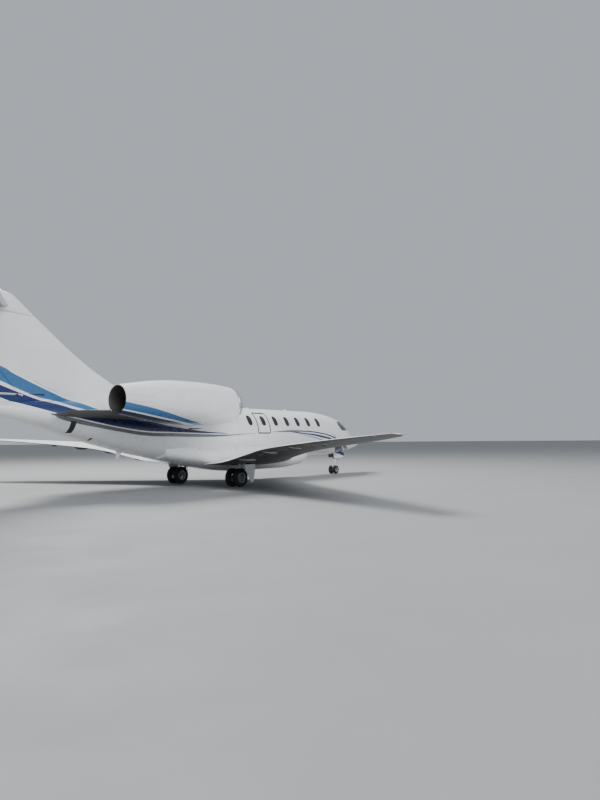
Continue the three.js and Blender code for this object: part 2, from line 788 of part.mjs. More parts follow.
const main = WHEELS.main;
const mainY = -main.across;
const [bracketFront, bracketBack, bracketLow, bracketHigh] = MAIN_DOOR.bracket;
function brake(side) {
  const profile = [
    [BRAKE.inner, 0],
    [BRAKE.inner, BRAKE.radius],
    [BRAKE.outer, BRAKE.radius],
    [BRAKE.outer, 0],
  ];
  const centre = [at(main.station), mainY, main.radius];
  return turned(profile.map(([along, radius]) => [side * along, radius]), main.sides, "y", centre);
}
rightSide.main_leg = block(MAIN_LEG.strut - 170, 10760, mainY - 90, mainY + 90, MAIN_WELL.top - 80, MAIN_WELL.top - GAP)
  .add(rod([MAIN_LEG.strut, mainY, MAIN_WELL.top - 40], [MAIN_LEG.strut, mainY, MAIN_LEG.strutBottom], MAIN_LEG.strutRadius))
  .add(sidePlate(MAIN_LEG.armOutline, mainY - MAIN_LEG.arm, mainY + MAIN_LEG.arm))
  .add(rod([10660, mainY, 410], [10600, mainY, MAIN_WELL.top - 60], MAIN_LEG.shockRadius))
  .add(block(bracketFront, bracketBack, -MAIN_DOOR.y + GAP, mainY, bracketLow, bracketHigh))
  .add(brake(-1))
  .add(brake(1))
  .subtract(shaftBore(main, mainY, BRAKE.outer + 5));
rightSide.main_hubs = hubPair(main, mainY);
rightSide.main_tyre_outer = tyre(main, mainY - main.half);
rightSide.main_tyre_inner = tyre(main, mainY + main.half);
rightSide.main_gear_door = sidePlate(MAIN_DOOR.outline, -MAIN_DOOR.y - MAIN_DOOR.thick, -MAIN_DOOR.y);

const NOSE_LEG = { pivot: 2100, radius: 56, bottom: 560, piston: 36, trunnion: 36, trunnionLevel: 1185 };
const TAXI_LAMP = { front: 1985, back: 2050, across: 130, level: 650, radius: 50, bracket: 15 };
const nose = WHEELS.nose;
pieces.nose_leg = rod([NOSE_LEG.pivot, 0, NOSE_LEG.bottom], [NOSE_LEG.pivot, 0, NOSE_LEG.trunnionLevel + 40], NOSE_LEG.radius)
  .add(
    rod(
      [NOSE_LEG.pivot, -NOSE_WELL.halfWidth + GAP, NOSE_LEG.trunnionLevel],
      [NOSE_LEG.pivot, NOSE_WELL.halfWidth - GAP, NOSE_LEG.trunnionLevel],
      NOSE_LEG.trunnion,
    ),
  )
  .add(rod([NOSE_LEG.pivot, 0, 700], [2640, 0, 1130], 24))
  .add(rod([2640, -NOSE_WELL.halfWidth + GAP, 1130], [2640, NOSE_WELL.halfWidth - GAP, 1130], 24))
  .add(
    block(
      TAXI_LAMP.back - 10,
      TAXI_LAMP.back + 20,
      -TAXI_LAMP.across,
      TAXI_LAMP.across,
      TAXI_LAMP.level - TAXI_LAMP.bracket,
      TAXI_LAMP.level + TAXI_LAMP.bracket,
    ),
  );
for (const side of [-1, 1]) {
  const ends = [TAXI_LAMP.front, TAXI_LAMP.back].map((station) => [station, side * TAXI_LAMP.across, TAXI_LAMP.level]);
  pieces.nose_leg = pieces.nose_leg.add(rod(...ends, TAXI_LAMP.radius));
}
pieces.nose_fork = rod([NOSE_LEG.pivot, 0, NOSE_LEG.bottom - GAP], [NOSE_LEG.pivot, 0, 230], NOSE_LEG.piston)
  .add(block(2070, 2215, -42, 42, 150, 262))
  .add(block(2110, 2250, -30, 30, 262, 330))
  .add(block(2110, 2290, -24, 24, 330, 400))
  .add(block(2110, 2250, -30, 30, 400, 470))
  .add(rod([NOSE_LEG.pivot, 0, 470], [NOSE_LEG.pivot, 0, NOSE_LEG.bottom - GAP], 52))
  .subtract(shaftBore(nose, 0, 60));
pieces.nose_hubs = hubPair(nose, 0);
pieces.nose_tyre_right = tyre(nose, -nose.half);
pieces.nose_tyre_left = tyre(nose, nose.half);
const NOSE_DOOR = {
  thick: 18,
  // Door in side view: station, level
  outline: [
    [1500, 1125],
    [2420, 1080],
    [2380, 760],
    [1620, 780],
    [1520, 900],
  ],
};
for (const [name, side] of [["nose_gear_door_right", -1], ["nose_gear_door_left", 1]]) {
  const edges = [NOSE_WELL.halfWidth - GAP, NOSE_WELL.halfWidth - GAP - NOSE_DOOR.thick].map((y) => side * y);
  pieces[name] = sidePlate(NOSE_DOOR.outline, Math.min(...edges), Math.max(...edges));
}

// Door and interior

const doorShell = fuselage(SPLIT.cockpit, SPLIT.cabin, 0).subtract(
  fuselage(SPLIT.cockpit - 1, SPLIT.cabin + 1, -SKIN.wall),
);
pieces.cabin_door = doorShell.intersect(doorBlock(DOOR.edge));
// The hinge's pins stand on the sill, and the door's straps hang between them
for (const [index, station] of KNUCKLE.stations.entries()) {
  const pin = (front) =>
    rod([front, DOOR.hingeOut, DOOR.hingeUp], [front + KNUCKLE.length, DOOR.hingeOut, DOOR.hingeUp], KNUCKLE.radius);
  const inboard = station + (index === 0 ? 1 : -1) * (KNUCKLE.length + GAP);
  pieces.forward_fuselage = pieces.forward_fuselage.add(pin(station)).add(
    block(
      station,
      station + KNUCKLE.length,
      DOOR.hingeOut - 50,
      DOOR.hingeOut,
      DOOR.hingeUp - KNUCKLE.radius + 2,
      DOOR.hingeUp + 8,
    ),
  );
  pieces.cabin_door = pieces.cabin_door.add(pin(inboard)).add(
    block(
      inboard,
      inboard + KNUCKLE.length,
      DOOR.hingeOut - 4,
      DOOR.hingeOut + 14,
      DOOR.hingeUp,
      DOOR.hingeUp + KNUCKLE.strap,
    ),
  );
}
const STEPS = { levels: [1330, 1590, 1850, 2110], depth: 200, thick: 30, inset: 90 };
for (const level of STEPS.levels) {
  const wall = rowAt(FUSELAGE, 3700);
  const reach = (z) => (wall[4] - SKIN.wall) * Math.sqrt(1 - ((z - wall[2]) / (wall[1] - wall[2])) ** 2);
  const outer = reach(level) + 30;
  const step = block(
    DOOR.front + STEPS.inset,
    DOOR.back - STEPS.inset,
    outer - STEPS.depth - 30,
    outer,
    level,
    level + STEPS.thick,
  );
  pieces.cabin_door = pieces.cabin_door.add(step);
}

const { low, high, thick } = FLOOR;
const AISLE = 230;
const FLOOR_HALF = 640;
// The raised floor beside the aisle, which carries the seats of the left side
const PLINTH = [
  [AISLE, low + GAP],
  [AISLE, high],
  [FLOOR_HALF, high],
  [FLOOR_HALF, high - thick],
  [AISLE + thick, high - thick],
  [AISLE + thick, low + GAP],
];
const cockpitHalf = 470;
const innerRoom = fuselage(SPLIT.cockpit + SKIN.wall + 1, SPLIT.aft - SKIN.wall - 1, -SKIN.wall - GAP);
pieces.cabin_floor = block(FLOOR.entry, FLOOR.back, -380, 380, low - thick, low).intersect(innerRoom);
pieces.cockpit_floor = block(FLOOR.entry - thick, FLOOR.entry - GAP, -380, 380, low - thick, high)
  .add(block(FLOOR.front, FLOOR.entry - thick + 1, -cockpitHalf, cockpitHalf, high - thick, high))
  .subtract(noseWellLining)
  .intersect(innerRoom);

// One seat in side view, facing forward: distance behind its front edge, height over the floor
const SEAT = [
  [0, 250],
  [0, 420],
  [430, 400],
  [540, 1000],
  [660, 1000],
  [600, 300],
  [520, 250],
  [420, 0],
  [120, 0],
  [120, 250],
];
function seat(station, facing, y, width, floor) {
  const outline = SEAT.map(([back, up]) => [station + (facing > 0 ? back : 660 - back), floor + up]);
  return sidePlate(outline, y - width / 2, y + width / 2);
}
function seatRow(side) {
  const y = side * SEATS.across;
  const outline = PLINTH.map(([across, level]) => [side * across, level]);
  const plinth = frontPlate(side < 0 ? outline.reverse() : outline, FLOOR.cabin, FLOOR.back).intersect(innerRoom);
  return SEATS.stations.reduce(
    (row, station, index) => row.add(seat(station, SEATS.facing[index], y, SEATS.width, high - 1)),
    plinth,
  );
}
pieces.seats_right = seatRow(-1);
pieces.seats_left = seatRow(1);
const seatFloor = FLOOR.high + GAP;
const PILOT = { station: 2620, across: 290, width: 400 };
pieces.cockpit_seats = seat(PILOT.station, 1, -PILOT.across, PILOT.width, seatFloor)
  .add(seat(PILOT.station, 1, PILOT.across, PILOT.width, seatFloor))
  .add(block(PILOT.station + 150, PILOT.station + 400, -PILOT.across, PILOT.across, seatFloor, seatFloor + 30));
pieces.instrument_panel = sidePlate([[1800, 2000], [2180, 2035], [2180, 2005], [2050, 1985], [2050, 1700], [1800, 1700]], -520, 520)
  .add(sidePlate([[2000, seatFloor], [2000, 1900], [2060, 1800], [2560, 1620], [2560, seatFloor]], -80, 80))
  .intersect(fuselage(SPLIT.cockpit + SKIN.wall + 1, 3200, -SKIN.wall - GAP));

const ANTENNA = { thick: 18, outline: [[14520, 1360], [14740, 1400], [14790, 1090], [14700, 1085]] };
pieces.belly_antenna = mainBody(
  sidePlate(ANTENNA.outline, -ANTENNA.thick / 2, ANTENNA.thick / 2).subtract(fuselageKeepOut),
);

for (const [name, made] of Object.entries(rightSide)) {
  pieces[name + "_right"] = made;
  pieces[name + "_left"] = mirrored(made);
}

// Colours: name, colour, roughness, metalness
const PAINT = {
  white: [0xeef0f2, 0.25, 0.1],
  grey: [0x8b9096, 0.4, 0.3],
  metal: [0xb9bdc2, 0.35, 0.9],
  dark: [0x23262b, 0.5, 0.4],
  rubber: [0x17181a, 0.85, 0],
  glass: [0x1b232b, 0.08, 0],
  leather: [0xcbbfae, 0.6, 0],
  carpet: [0x6d675f, 0.95, 0],
};
const paintOf = (name) => {
  if (/tyre/.test(name)) return "rubber";
  if (/window_|windshield/.test(name)) return "glass";
  if (/seats/.test(name)) return "leather";
  if (/floor/.test(name)) return "carpet";
  if (/panel|engine/.test(name)) return "dark";
  if (/hubs|leg|fork|fan_/.test(name)) return "metal";
  if (/pylon/.test(name)) return "grey";
  return "white";
};

const jet = new THREE.Group();
for (const [name, made] of Object.entries(pieces)) {
  const [color, roughness, metalness] = PAINT[paintOf(name)];
  const mesh = new THREE.Mesh(geometryOf(made), new THREE.MeshStandardMaterial({ color, roughness, metalness }));
  mesh.name = name;
  jet.add(mesh);
}

export default jet;
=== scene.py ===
# Looks for the twin-engined business jet, in metres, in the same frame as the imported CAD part.
# The tables are in millimetres and by station, the distance aft of the nose tip, as in the part.

import math

import bmesh
import bpy
import numpy as np
from mathutils import Matrix, Vector
from mathutils.geometry import delaunay_2d_cdt


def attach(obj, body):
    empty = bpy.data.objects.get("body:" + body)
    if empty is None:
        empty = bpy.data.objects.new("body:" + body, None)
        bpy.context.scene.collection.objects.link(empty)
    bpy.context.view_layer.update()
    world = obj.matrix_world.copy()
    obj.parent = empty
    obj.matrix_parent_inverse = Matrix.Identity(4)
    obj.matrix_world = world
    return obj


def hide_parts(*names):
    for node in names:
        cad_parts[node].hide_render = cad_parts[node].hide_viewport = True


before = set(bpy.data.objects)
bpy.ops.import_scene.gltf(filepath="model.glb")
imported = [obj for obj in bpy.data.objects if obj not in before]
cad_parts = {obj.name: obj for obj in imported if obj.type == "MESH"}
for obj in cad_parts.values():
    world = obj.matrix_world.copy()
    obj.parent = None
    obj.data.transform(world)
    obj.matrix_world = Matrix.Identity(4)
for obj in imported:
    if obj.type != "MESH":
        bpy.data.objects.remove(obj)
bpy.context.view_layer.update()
NOSE_X = 11025
SIDES = (("right", -1), ("left", 1))


def link(name, data):
    """A new object in the scene."""
    made = bpy.data.objects.new(name, data)
    bpy.context.scene.collection.objects.link(made)
    return made


# Camera: the photograph's place and angle

PHOTO = {"place": (-15.79, -16.38, 1.6525), "yaw": 36.73, "pitch": 3.785, "roll": -0.439}
LENS, SENSOR, FAR = 27.14, 36, 2000


def make_camera():
    yaw, pitch, roll = (math.radians(PHOTO[k]) for k in ("yaw", "pitch", "roll"))
    level = math.cos(pitch)
    forward = Vector((math.cos(yaw) * level, math.sin(yaw) * level, math.sin(pitch)))
    right = Vector((math.sin(yaw), -math.cos(yaw), 0))
    up = right.cross(forward)
    side = right * math.cos(roll) + up * math.sin(roll)
    top = up * math.cos(roll) - right * math.sin(roll)
    data = bpy.data.cameras.new("camera")
    data.lens, data.sensor_width, data.clip_end = LENS, SENSOR, FAR
    camera = link("camera", data)
    turn = Matrix((side, top, -forward)).transposed().to_4x4()
    camera.matrix_world = Matrix.Translation(PHOTO["place"]) @ turn
    bpy.context.scene.camera = camera


make_camera()

# Wings: share of the chord and of the half thickness, then [span, front, level, back, level, thickness]

AEROFOIL = [(0.0, 0.0), (0.012, 0.3), (0.06, 0.62), (0.2, 0.93), (0.4, 1.0), (0.7, 0.66), (1.0, 0.035)]
WING = [
    (700, 6440, 915, 11740, 800, 530),
    (1900, 7790, 1050, 11990, 900, 440),
    (3300, 9050, 1200, 12300, 1170, 330),
    (4300, 9757, 1320, 12626, 1360, 285),
    (6500, 11311, 1500, 13343, 1570, 200),
    (9300, 13289, 1710, 14257, 1760, 95),
    (9650, 13560, 1745, 14371, 1780, 60),
    (9740, 13800, 1770, 14400, 1785, 24),
]
TAILPLANE = [
    (60, 18400, 5420, 20620, 5420, 225),
    (600, 18795, 5440, 20820, 5440, 205),
    (3850, 21290, 5580, 22010, 5580, 75),
    (3975, 21480, 5590, 22050, 5590, 24),
]

# Materials


class Shader:
    """A material's nodes: a principled shader, and short calls for the nodes in front of it."""

    def __init__(self, name, **values):
        self.material = bpy.data.materials.new(name)
        self.material.use_nodes = True
        self.tree = self.material.node_tree
        self.bsdf = self.tree.nodes["Principled BSDF"]
        for key, value in values.items():
            self.set(key.replace("_", " "), value)
        self.place = self.node("ShaderNodeTexCoord").outputs["Object"]
        self.x, self.y, self.z = self.node("ShaderNodeSeparateXYZ", [self.place]).outputs

    def plug(self, socket, value):
        """Links a node's output to a socket, or sets the socket to a number or a colour."""
        if isinstance(value, bpy.types.NodeSocket):
            self.tree.links.new(value, socket)
            return
        if isinstance(value, tuple) and len(value) < len(socket.default_value):
            value = (*value, 1)
        socket.default_value = value

    def set(self, name, value):
        self.plug(self.bsdf.inputs[name], value)

    def node(self, kind, inputs=(), **settings):
        """A new node. Its inputs are given in a row, or by number or name."""
        made = self.tree.nodes.new(kind)
        for key, value in settings.items():
            setattr(made, key, value)
        for key, value in inputs.items() if isinstance(inputs, dict) else enumerate(inputs):
            self.plug(made.inputs[key], value)
        return made

    def math(self, operation, *values, clamp=False):
        return self.node("ShaderNodeMath", values, operation=operation, use_clamp=clamp).outputs[0]

    def scaled(self, factors):
        return self.node("ShaderNodeVectorMath", [self.place, factors], operation="MULTIPLY").outputs[0]

    def noise(self, scale, detail=3.0, roughness=0.5, place=None):
        inputs = {0: place or self.place, "Scale": scale, "Detail": detail, "Roughness": roughness}
        return self.node("ShaderNodeTexNoise", inputs).outputs[0]

    def ramp(self, value, low, high, out_low=0.0, out_high=1.0):
        return self.node("ShaderNodeMapRange", [value, low, high, out_low, out_high], clamp=True).outputs[0]

    def drift(self, low, high, scale, detail=3.0, roughness=0.5):
        """A value that wanders between two, in clouds."""
        return self.ramp(self.noise(scale, detail, roughness), 0.3, 0.7, low, high)

    def mix(self, share, first, second, blend="MIX"):
        inputs = {0: share, 6: first, 7: second}
        return self.node("ShaderNodeMix", inputs, data_type="RGBA", blend_type=blend).outputs[2]

    def curve(self, value, points, margin=0.05):
        """A value read from a table of points by a smooth curve."""
        first, last = points[0][0], points[-1][0]
        levels = [y for _, y in points]
        low, high = min(levels) - margin, max(levels) + margin
        made = self.node("ShaderNodeFloatCurve", {"Value": self.ramp(value, first, last)})
        line = made.mapping.curves[0].points
        for index, (x, y) in enumerate(points):
            spot = ((x - first) / (last - first), (y - low) / (high - low))
            if index < 2:
                line[index].location = spot
            else:
                line.new(*spot)
        for point in line:
            point.handle_type = "AUTO_CLAMPED"
        made.mapping.use_clip = False
        made.mapping.update()
        return self.ramp(made.outputs[0], 0.0, 1.0, low, high)

    def edge(self, table):
        """The level of a line over the side view, from a table of [station, level]."""
        return self.curve(self.x, sorted(((NOSE_X - s) / 1000, z / 1000) for s, z in table))

    def over(self, value, limit, soft=0.004):
        """1 where a value is over a limit and 0 where it is under, with a narrow step between."""
        return self.math("MULTIPLY_ADD", self.math("SUBTRACT", value, limit), 1 / soft, 0.5, clamp=True)

    def band(self, upper, lower, ends):
        """1 between two edges over the side view, and between two stations."""
        under = self.over(self.edge(upper), self.z)
        share = self.math("MULTIPLY", under, self.over(self.z, self.edge(lower)))
        if ends:
            front, back = ((NOSE_X - station) / 1000 for station in ends)
            within = self.math("MULTIPLY", self.over(front, self.x), self.over(self.x, back))
            share = self.math("MULTIPLY", share, within)
        return share

    def bump(self, height, strength, distance=0.002):
        inputs = {"Strength": strength, "Distance": distance, "Height": height}
        self.set("Normal", self.node("ShaderNodeBump", inputs).outputs[0])


def plain(name, color, roughness, metallic=0.0, vary=0.08, scale=6.0, bump=0.0, grain=400.0, **more):
    """One colour with cloudy variation in colour and gloss, and a fine grain."""
    made = Shader(name, Metallic=metallic, **more)
    dark = tuple(c * (1 - vary) for c in color)
    light = tuple(min(1.0, c * (1 + vary)) for c in color)
    made.set("Base Color", made.mix(made.drift(0.0, 1.0, scale, 4.0, 0.6), dark, light))
    made.set("Roughness", made.drift(roughness * 0.85, roughness * 1.15, scale * 2.3))
    if bump:
        made.bump(made.noise(grain, 2.0), bump)
    return made.material


WHITE = (0.80, 0.81, 0.82)
TINTS = {
    "mid": (0.045, 0.155, 0.35),
    "navy": (0.010, 0.028, 0.125),
    "light": (0.17, 0.38, 0.64),
    "slate": (0.13, 0.145, 0.155),
    "silver": (0.44, 0.45, 0.50),
    "bright": (0.90, 0.905, 0.91),
    "black": (0.008, 0.008, 0.010),
    "seam": (0.22, 0.23, 0.24),
    # A lilac darkened to the shade under the engine: painted shade
    "lilac": (0.12, 0.118, 0.18),
    "deep": (0.007, 0.014, 0.075),
}
# Bands that change colour along the body: where in x, then the colours aft and forward
FADES = {
    "swoosh": ((3.6, 6.4), (0.16, 0.17, 0.20), (0.007, 0.014, 0.075)),
    # Navy aft that turns near black forward: painted shade under the pylon and the engine
    "flank": ((-5.9, -4.7), TINTS["navy"], TINTS["deep"]),
}


def shift(table, rise):
    return [(station, level + rise) for station, level in table]


# Edges of the painted bands in side view, as [station, level]
MID_TOP = [
    (13800, 2290), (14600, 2370), (15200, 2480), (15857, 2624), (16102, 2718), (16387, 2834),
    (16712, 2927), (17094, 3072), (17462, 3215), (17817, 3359), (18046, 3458), (18271, 3557),
    (18493, 3682), (18900, 3815), (19700, 4060),
]
MID_LOW = [
    (13800, 2300), (14600, 2350), (15400, 2430), (16404, 2627), (16829, 2754), (17087, 2848), (17441, 2907),
    (17677, 2972), (17911, 3058), (18138, 3140), (18360, 3231), (18603, 3330), (19700, 3780),
]
NAVY_TOP = [
    (10480, 1890), (10784, 1925), (11548, 1962), (12027, 2000), (12600, 2060), (13342, 2150), (14000, 2260),
    (14600, 2325), (15400, 2400), (16569, 2597), (17023, 2728), (17555, 2867), (18018, 3013), (18242, 3090),
    (18596, 3216), (19700, 3640),
]
NAVY_LOW = [
    (10480, 1896), (11296, 1908), (12027, 1919), (13341, 1950), (14131, 1966), (15206, 2093), (15868, 2212),
    (16480, 2335), (17153, 2474), (17690, 2610), (18085, 2714), (18259, 2763), (18546, 2860), (19700, 3240),
]
GREY_LOW = [
    (8100, 1945), (9001, 1921), (9972, 1865), (11032, 1797), (12013, 1780), (13324, 1798), (14107, 1815),
    (15184, 1948), (15848, 2056), (16650, 2200), (17000, 2290), (17300, 2450), (17600, 2620),
]
GREY_TOP = [
    (8100, 1938), (9001, 1931), (9975, 1892), (10782, 1866), (12027, 1884), *shift(NAVY_LOW[3:9], -35),
    (17600, 2540),
]
LILAC = [(11700, 1968), (12027, 1989), (12916, 2084), (13736, 2174), (14488, 2291), (15200, 2400)]
# A thin bright line where the rudder's foot meets the fin: a painted highlight on the gap's edge
GAP_HIGHLIGHT_EDGE = [(17930, 2955), (18015, 2983), (18168, 3002), (18700, 3004)]
SWOOSH_TOP = [
    (1000, 1050), (1400, 1160), (2210, 1390), (2800, 1580), (3330, 1737), (3672, 1815), (4019, 1888),
    (4562, 1962), (5332, 2033), (6062, 2058), (6771, 2064), (7448, 2030), (8250, 1985),
]
SWOOSH_LOW = [
    (1000, 890), (1750, 1115), (2620, 1380), (3200, 1600), (3600, 1735), (4013, 1833), (4562, 1909),
    (5337, 1976), (6070, 1998), (6780, 1981), (7452, 1979), (8250, 1995),
]
STROKE_TOP = [
    (1000, 840), (1600, 1030), (1950, 1135), (2755, 1385), (3300, 1590), (3824, 1738), (4119, 1783),
    (4556, 1842), (5080, 1902), (5782, 1943), (6454, 1983), (6900, 1975),
]
STROKE_LOW = [
    (1000, 650), (2000, 960), (2640, 1045), (3100, 1250), (3500, 1490), (4038, 1688), (4537, 1752),
    (5073, 1828), (5781, 1892), (6455, 1940), (6900, 1985),
]
LIGHT_TOP = [(3500, 1400), (4200, 1600), (4634, 1708), (5064, 1784), (5578, 1840), (6070, 1882), (6500, 1890)]
LIGHT_LOW = [(3500, 1410), (4200, 1560), (4779, 1677), (5160, 1740), (5570, 1797), (6070, 1862), (6500, 1900)]
# A black slot ahead of the rudder's foot: painted shade in a gap
GAP_SHADE_TOP = [(17300, 3022), (17560, 3018), (17800, 2999)]
GAP_SHADE_LOW = [(17300, 2974), (17560, 2986), (17800, 2991)]
# The same on the engines
WEDGE_TOP = [
    (12450, 2105), (13144, 2212), (13732, 2301), (14649, 2488), (15387, 2641), (16097, 2758),
    (16200, 2775),
]
WEDGE_LOW = [(12450, 2095), (13514, 2190), (14028, 2256), (14886, 2372), (15605, 2485), (16200, 2575)]

AFT_BANDS = [
    # A brighter line along the top of the mid-blue band: a painted highlight on its edge
    ("bright", shift(MID_TOP, 60), MID_TOP, (15900, 18400)),
    ("silver", shift(MID_TOP, 82), shift(MID_TOP, 60), (16900, 17700)),
    ("mid", MID_TOP, MID_LOW, None),
    # The navy band, darkened forward with painted shade under the pylon and the engine
    ("flank", NAVY_TOP, NAVY_LOW, None),
    ("bright", MID_LOW, NAVY_TOP, (14900, 19800)),
    # The thin lilac line, its colour darkened with painted shade
    ("lilac", shift(LILAC, 14), shift(LILAC, -14), (11700, 15200)),
    ("bright", NAVY_LOW, shift(NAVY_LOW, -35), (11000, 18700)),
    ("slate", GREY_TOP, GREY_LOW, None),
    # Painted highlight on the gap's lit edge
    ("bright", GAP_HIGHLIGHT_EDGE, shift(GAP_HIGHLIGHT_EDGE, -27), (17960, 18700)),
    # Painted shade in the gap ahead of the rudder's foot
    ("black", GAP_SHADE_TOP, GAP_SHADE_LOW, (17345, 17790)),
    ("seam", [(17000, 5243), (21500, 5243)], [(17000, 5232), (21500, 5232)], None),
]
FRONT_BANDS = [
    ("slate", GREY_TOP, GREY_LOW, None),
    ("swoosh", SWOOSH_TOP, SWOOSH_LOW, None),
    ("deep", STROKE_TOP, STROKE_LOW, None),
    ("light", LIGHT_TOP, LIGHT_LOW, None),
]
NACELLE_BANDS = [
    ("mid", WEDGE_TOP, WEDGE_LOW, None),
    # Navy under the wedge, painted near black: partly the nacelle's navy, partly painted shade under the
    # engine
    ("deep", shift(WEDGE_LOW, -40), [(11000, 1000), (17000, 1000)], (12600, 16200)),
    ("bright", WEDGE_LOW, shift(WEDGE_LOW, -40), (12600, 16200)),
    ("seam", [(15285, 2944), (16103, 2982)], [(15285, 2938), (16103, 2976)], (15285, 16103)),
    ("seam", [(15285, 2792), (16037, 2763)], [(15285, 2786), (16037, 2757)], (15285, 16037)),
]


def weathered(made, color, dirt=0.08):
    """Faint dirt streaks along the air's way over a colour, and the gentle ripple of painted skin."""
    streaks = made.noise(2.2, 5.0, 0.6, made.scaled((0.35, 1.6, 1.6)))
    made.set("Base Color", made.mix(1.0, color, made.ramp(streaks, 0.35, 0.75, 1.0, 1 - dirt), "MULTIPLY"))
    made.bump(made.noise(3.0, 1.0), 0.01, 0.004)
    return made.material


def paint(name, bands=(), rings=()):
    """Gloss paint with its bands, and thin joint lines round the body at some stations."""
    made = Shader(name, Coat_Weight=0.3, Coat_Roughness=0.08)
    made.set("Roughness", made.drift(0.26, 0.31, 7.0))
    color = made.mix(made.ramp(made.noise(0.9, 2.0), 0.35, 0.65), WHITE, tuple(c * 0.97 for c in WHITE))
    for station in rings:
        line = made.math("COMPARE", made.x, (NOSE_X - station) / 1000, 0.0022)
        color = made.mix(made.math("MULTIPLY", line, 0.7), color, TINTS["seam"])
    for tint, upper, lower, ends in bands:
        shade = TINTS.get(tint)
        if tint in FADES:
            shade = made.mix(made.ramp(made.x, *FADES[tint][0]), *FADES[tint][1:])
        color = made.mix(made.band(upper, lower, ends), color, shade)
    return weathered(made, color)


BARE_EDGE = 0.13  # metres of bare metal behind a leading edge


def foil_paint(name, color, below, table, across, along):
    """Paint on a wing with painted shade on its underside, in the colour below; bare metal on its leading
    edge and joint lines on it.
    """
    made = Shader(name, Specular_IOR_Level=0.3)
    normal = made.node("ShaderNodeTexCoord").outputs["Normal"]
    facing = made.node("ShaderNodeSeparateXYZ", [normal]).outputs[2]
    # Faces that look down get the colour below: painted shade on the underside
    color = made.mix(made.over(-0.12, facing, 0.1), color, below)
    span = made.math("ABSOLUTE", made.y)
    front = made.curve(span, [(row[0] / 1000, (NOSE_X - row[1]) / 1000) for row in table])
    behind = made.math("SUBTRACT", front, made.x)
    bare = made.over(BARE_EDGE, behind, 0.003)
    seam = made.math("COMPARE", behind, BARE_EDGE, 0.003)
    for value, places in ((behind, along), (span, across)):
        for place in places:
            seam = made.math("MAXIMUM", seam, made.math("COMPARE", value, place, 0.0025))
    tone = made.mix(made.math("MULTIPLY", seam, 0.6), color, TINTS["seam"])
    weathered(made, made.mix(bare, tone, (0.74, 0.75, 0.76)), 0.04)
    made.set("Metallic", made.math("MULTIPLY", bare, 0.95))
    made.set("Roughness", made.drift(0.42, 0.52, 7.0))
    return made.material


ENAMEL = (0.72, 0.73, 0.735)
# The second colour in each is the painted shade of the underside
WING_PAINT = ((0.72, 0.735, 0.75), (0.10, 0.10, 0.098), WING, (1.9, 3.3, 4.3, 5.45, 6.8, 8.2), (0.62, 1.35))
TAIL_PAINT = (WHITE, (0.42, 0.43, 0.44), TAILPLANE, (1.2, 2.4), (0.5,))
MATERIALS = {
    "white": paint("white_paint"),
    "nose": paint("nose_paint", FRONT_BANDS[1:3], (480, 1230)),
    "front": paint("front_paint", FRONT_BANDS, (3000, 4348, 9998)),
    "aft": paint("aft_paint", AFT_BANDS, (10003, 11900, 14298, 16400)),
    "nacelle": paint("nacelle_paint", NACELLE_BANDS, (12350, 13900, 15285)),
    "wing": foil_paint("wing_paint", *WING_PAINT),
    "tail": foil_paint("tailplane_paint", *TAIL_PAINT),
    "dark": plain("dark_paint", (0.105, 0.10, 0.097), 0.4, vary=0.15),
    "seal": plain("seal", (0.02, 0.02, 0.022), 0.55),
    "bare": plain("bare_metal", (0.78, 0.79, 0.80), 0.22, 1.0, vary=0.05, scale=9, bump=0.05),
    "steel": plain("grey_enamel", (0.50, 0.52, 0.54), 0.38, 0.2, vary=0.1, scale=20, bump=0.08),
    "enamel": plain("white_enamel", ENAMEL, 0.3, vary=0.07, scale=18, bump=0.06, Coat_Weight=0.3),
    "primer": plain("well_primer", (0.50, 0.53, 0.50), 0.55, vary=0.12, scale=12, bump=0.08),
    "piston": plain("bright_steel", (0.75, 0.76, 0.78), 0.12, 1.0, vary=0.04),
    "flange": plain("flange_silver", (0.74, 0.74, 0.73), 0.35, 0.2, vary=0.06, scale=30),
    "hub": plain("hub_grey", (0.20, 0.205, 0.215), 0.38, 0.5, vary=0.12, scale=30, bump=0.1),
    "tyre": plain("tyre_rubber", (0.018, 0.018, 0.019), 0.8, vary=0.25, scale=12, bump=0.3),
    "hot": plain("heat_stained_metal", (0.16, 0.145, 0.13), 0.42, 0.85, vary=0.3, scale=5, bump=0.1),
    "fan": plain("fan_metal", (0.30, 0.31, 0.33), 0.3, 0.9, vary=0.1, scale=18),
    "glass": plain("tinted_glass", (0.015, 0.02, 0.025), 0.04, vary=0.2, Coat_Weight=0.5, Alpha=0.72),
    "pane": plain("window_pane", (0.010, 0.012, 0.015), 0.05, vary=0.2, Coat_Weight=0.5, Alpha=0.82),
    "trim": plain("cabin_trim", (0.55, 0.50, 0.43), 0.6, vary=0.06, scale=10, bump=0.1),
    "leather": plain("cream_leather", (0.58, 0.50, 0.40), 0.45, vary=0.08, scale=25, bump=0.35, grain=220),
    "carpet": plain("carpet", (0.22, 0.20, 0.175), 0.95, vary=0.25, scale=150, bump=0.6, grain=600),
    "panel": plain("panel_black", (0.03, 0.03, 0.032), 0.5, vary=0.2, scale=40, bump=0.1),
    "duct": plain("duct_metal", (0.14, 0.14, 0.125), 0.45, 0.4, vary=0.2, scale=4),
    # Near black in the wheel wells: painted shade in the bays
    "bay": plain("bay_painted_shade", (0.055, 0.058, 0.055), 0.6, vary=0.2, scale=12, bump=0.08),
    "strut": plain("strut_white", (0.93, 0.93, 0.925), 0.25, vary=0.04, scale=18, Coat_Weight=0.5),
    "green_lens": plain("green_lens", (0.02, 0.30, 0.12), 0.06, vary=0.1, Coat_Weight=1.0),
    "red_lens": plain("red_lens", (0.45, 0.02, 0.02), 0.06, vary=0.1, Coat_Weight=1.0),
    "lamp": plain("lamp_lens", (0.75, 0.78, 0.80), 0.05, vary=0.05, Coat_Weight=1.0),
}

# Geometry helpers


def metres(station, y, z):
    return ((NOSE_X - station) / 1000, y / 1000, z / 1000)


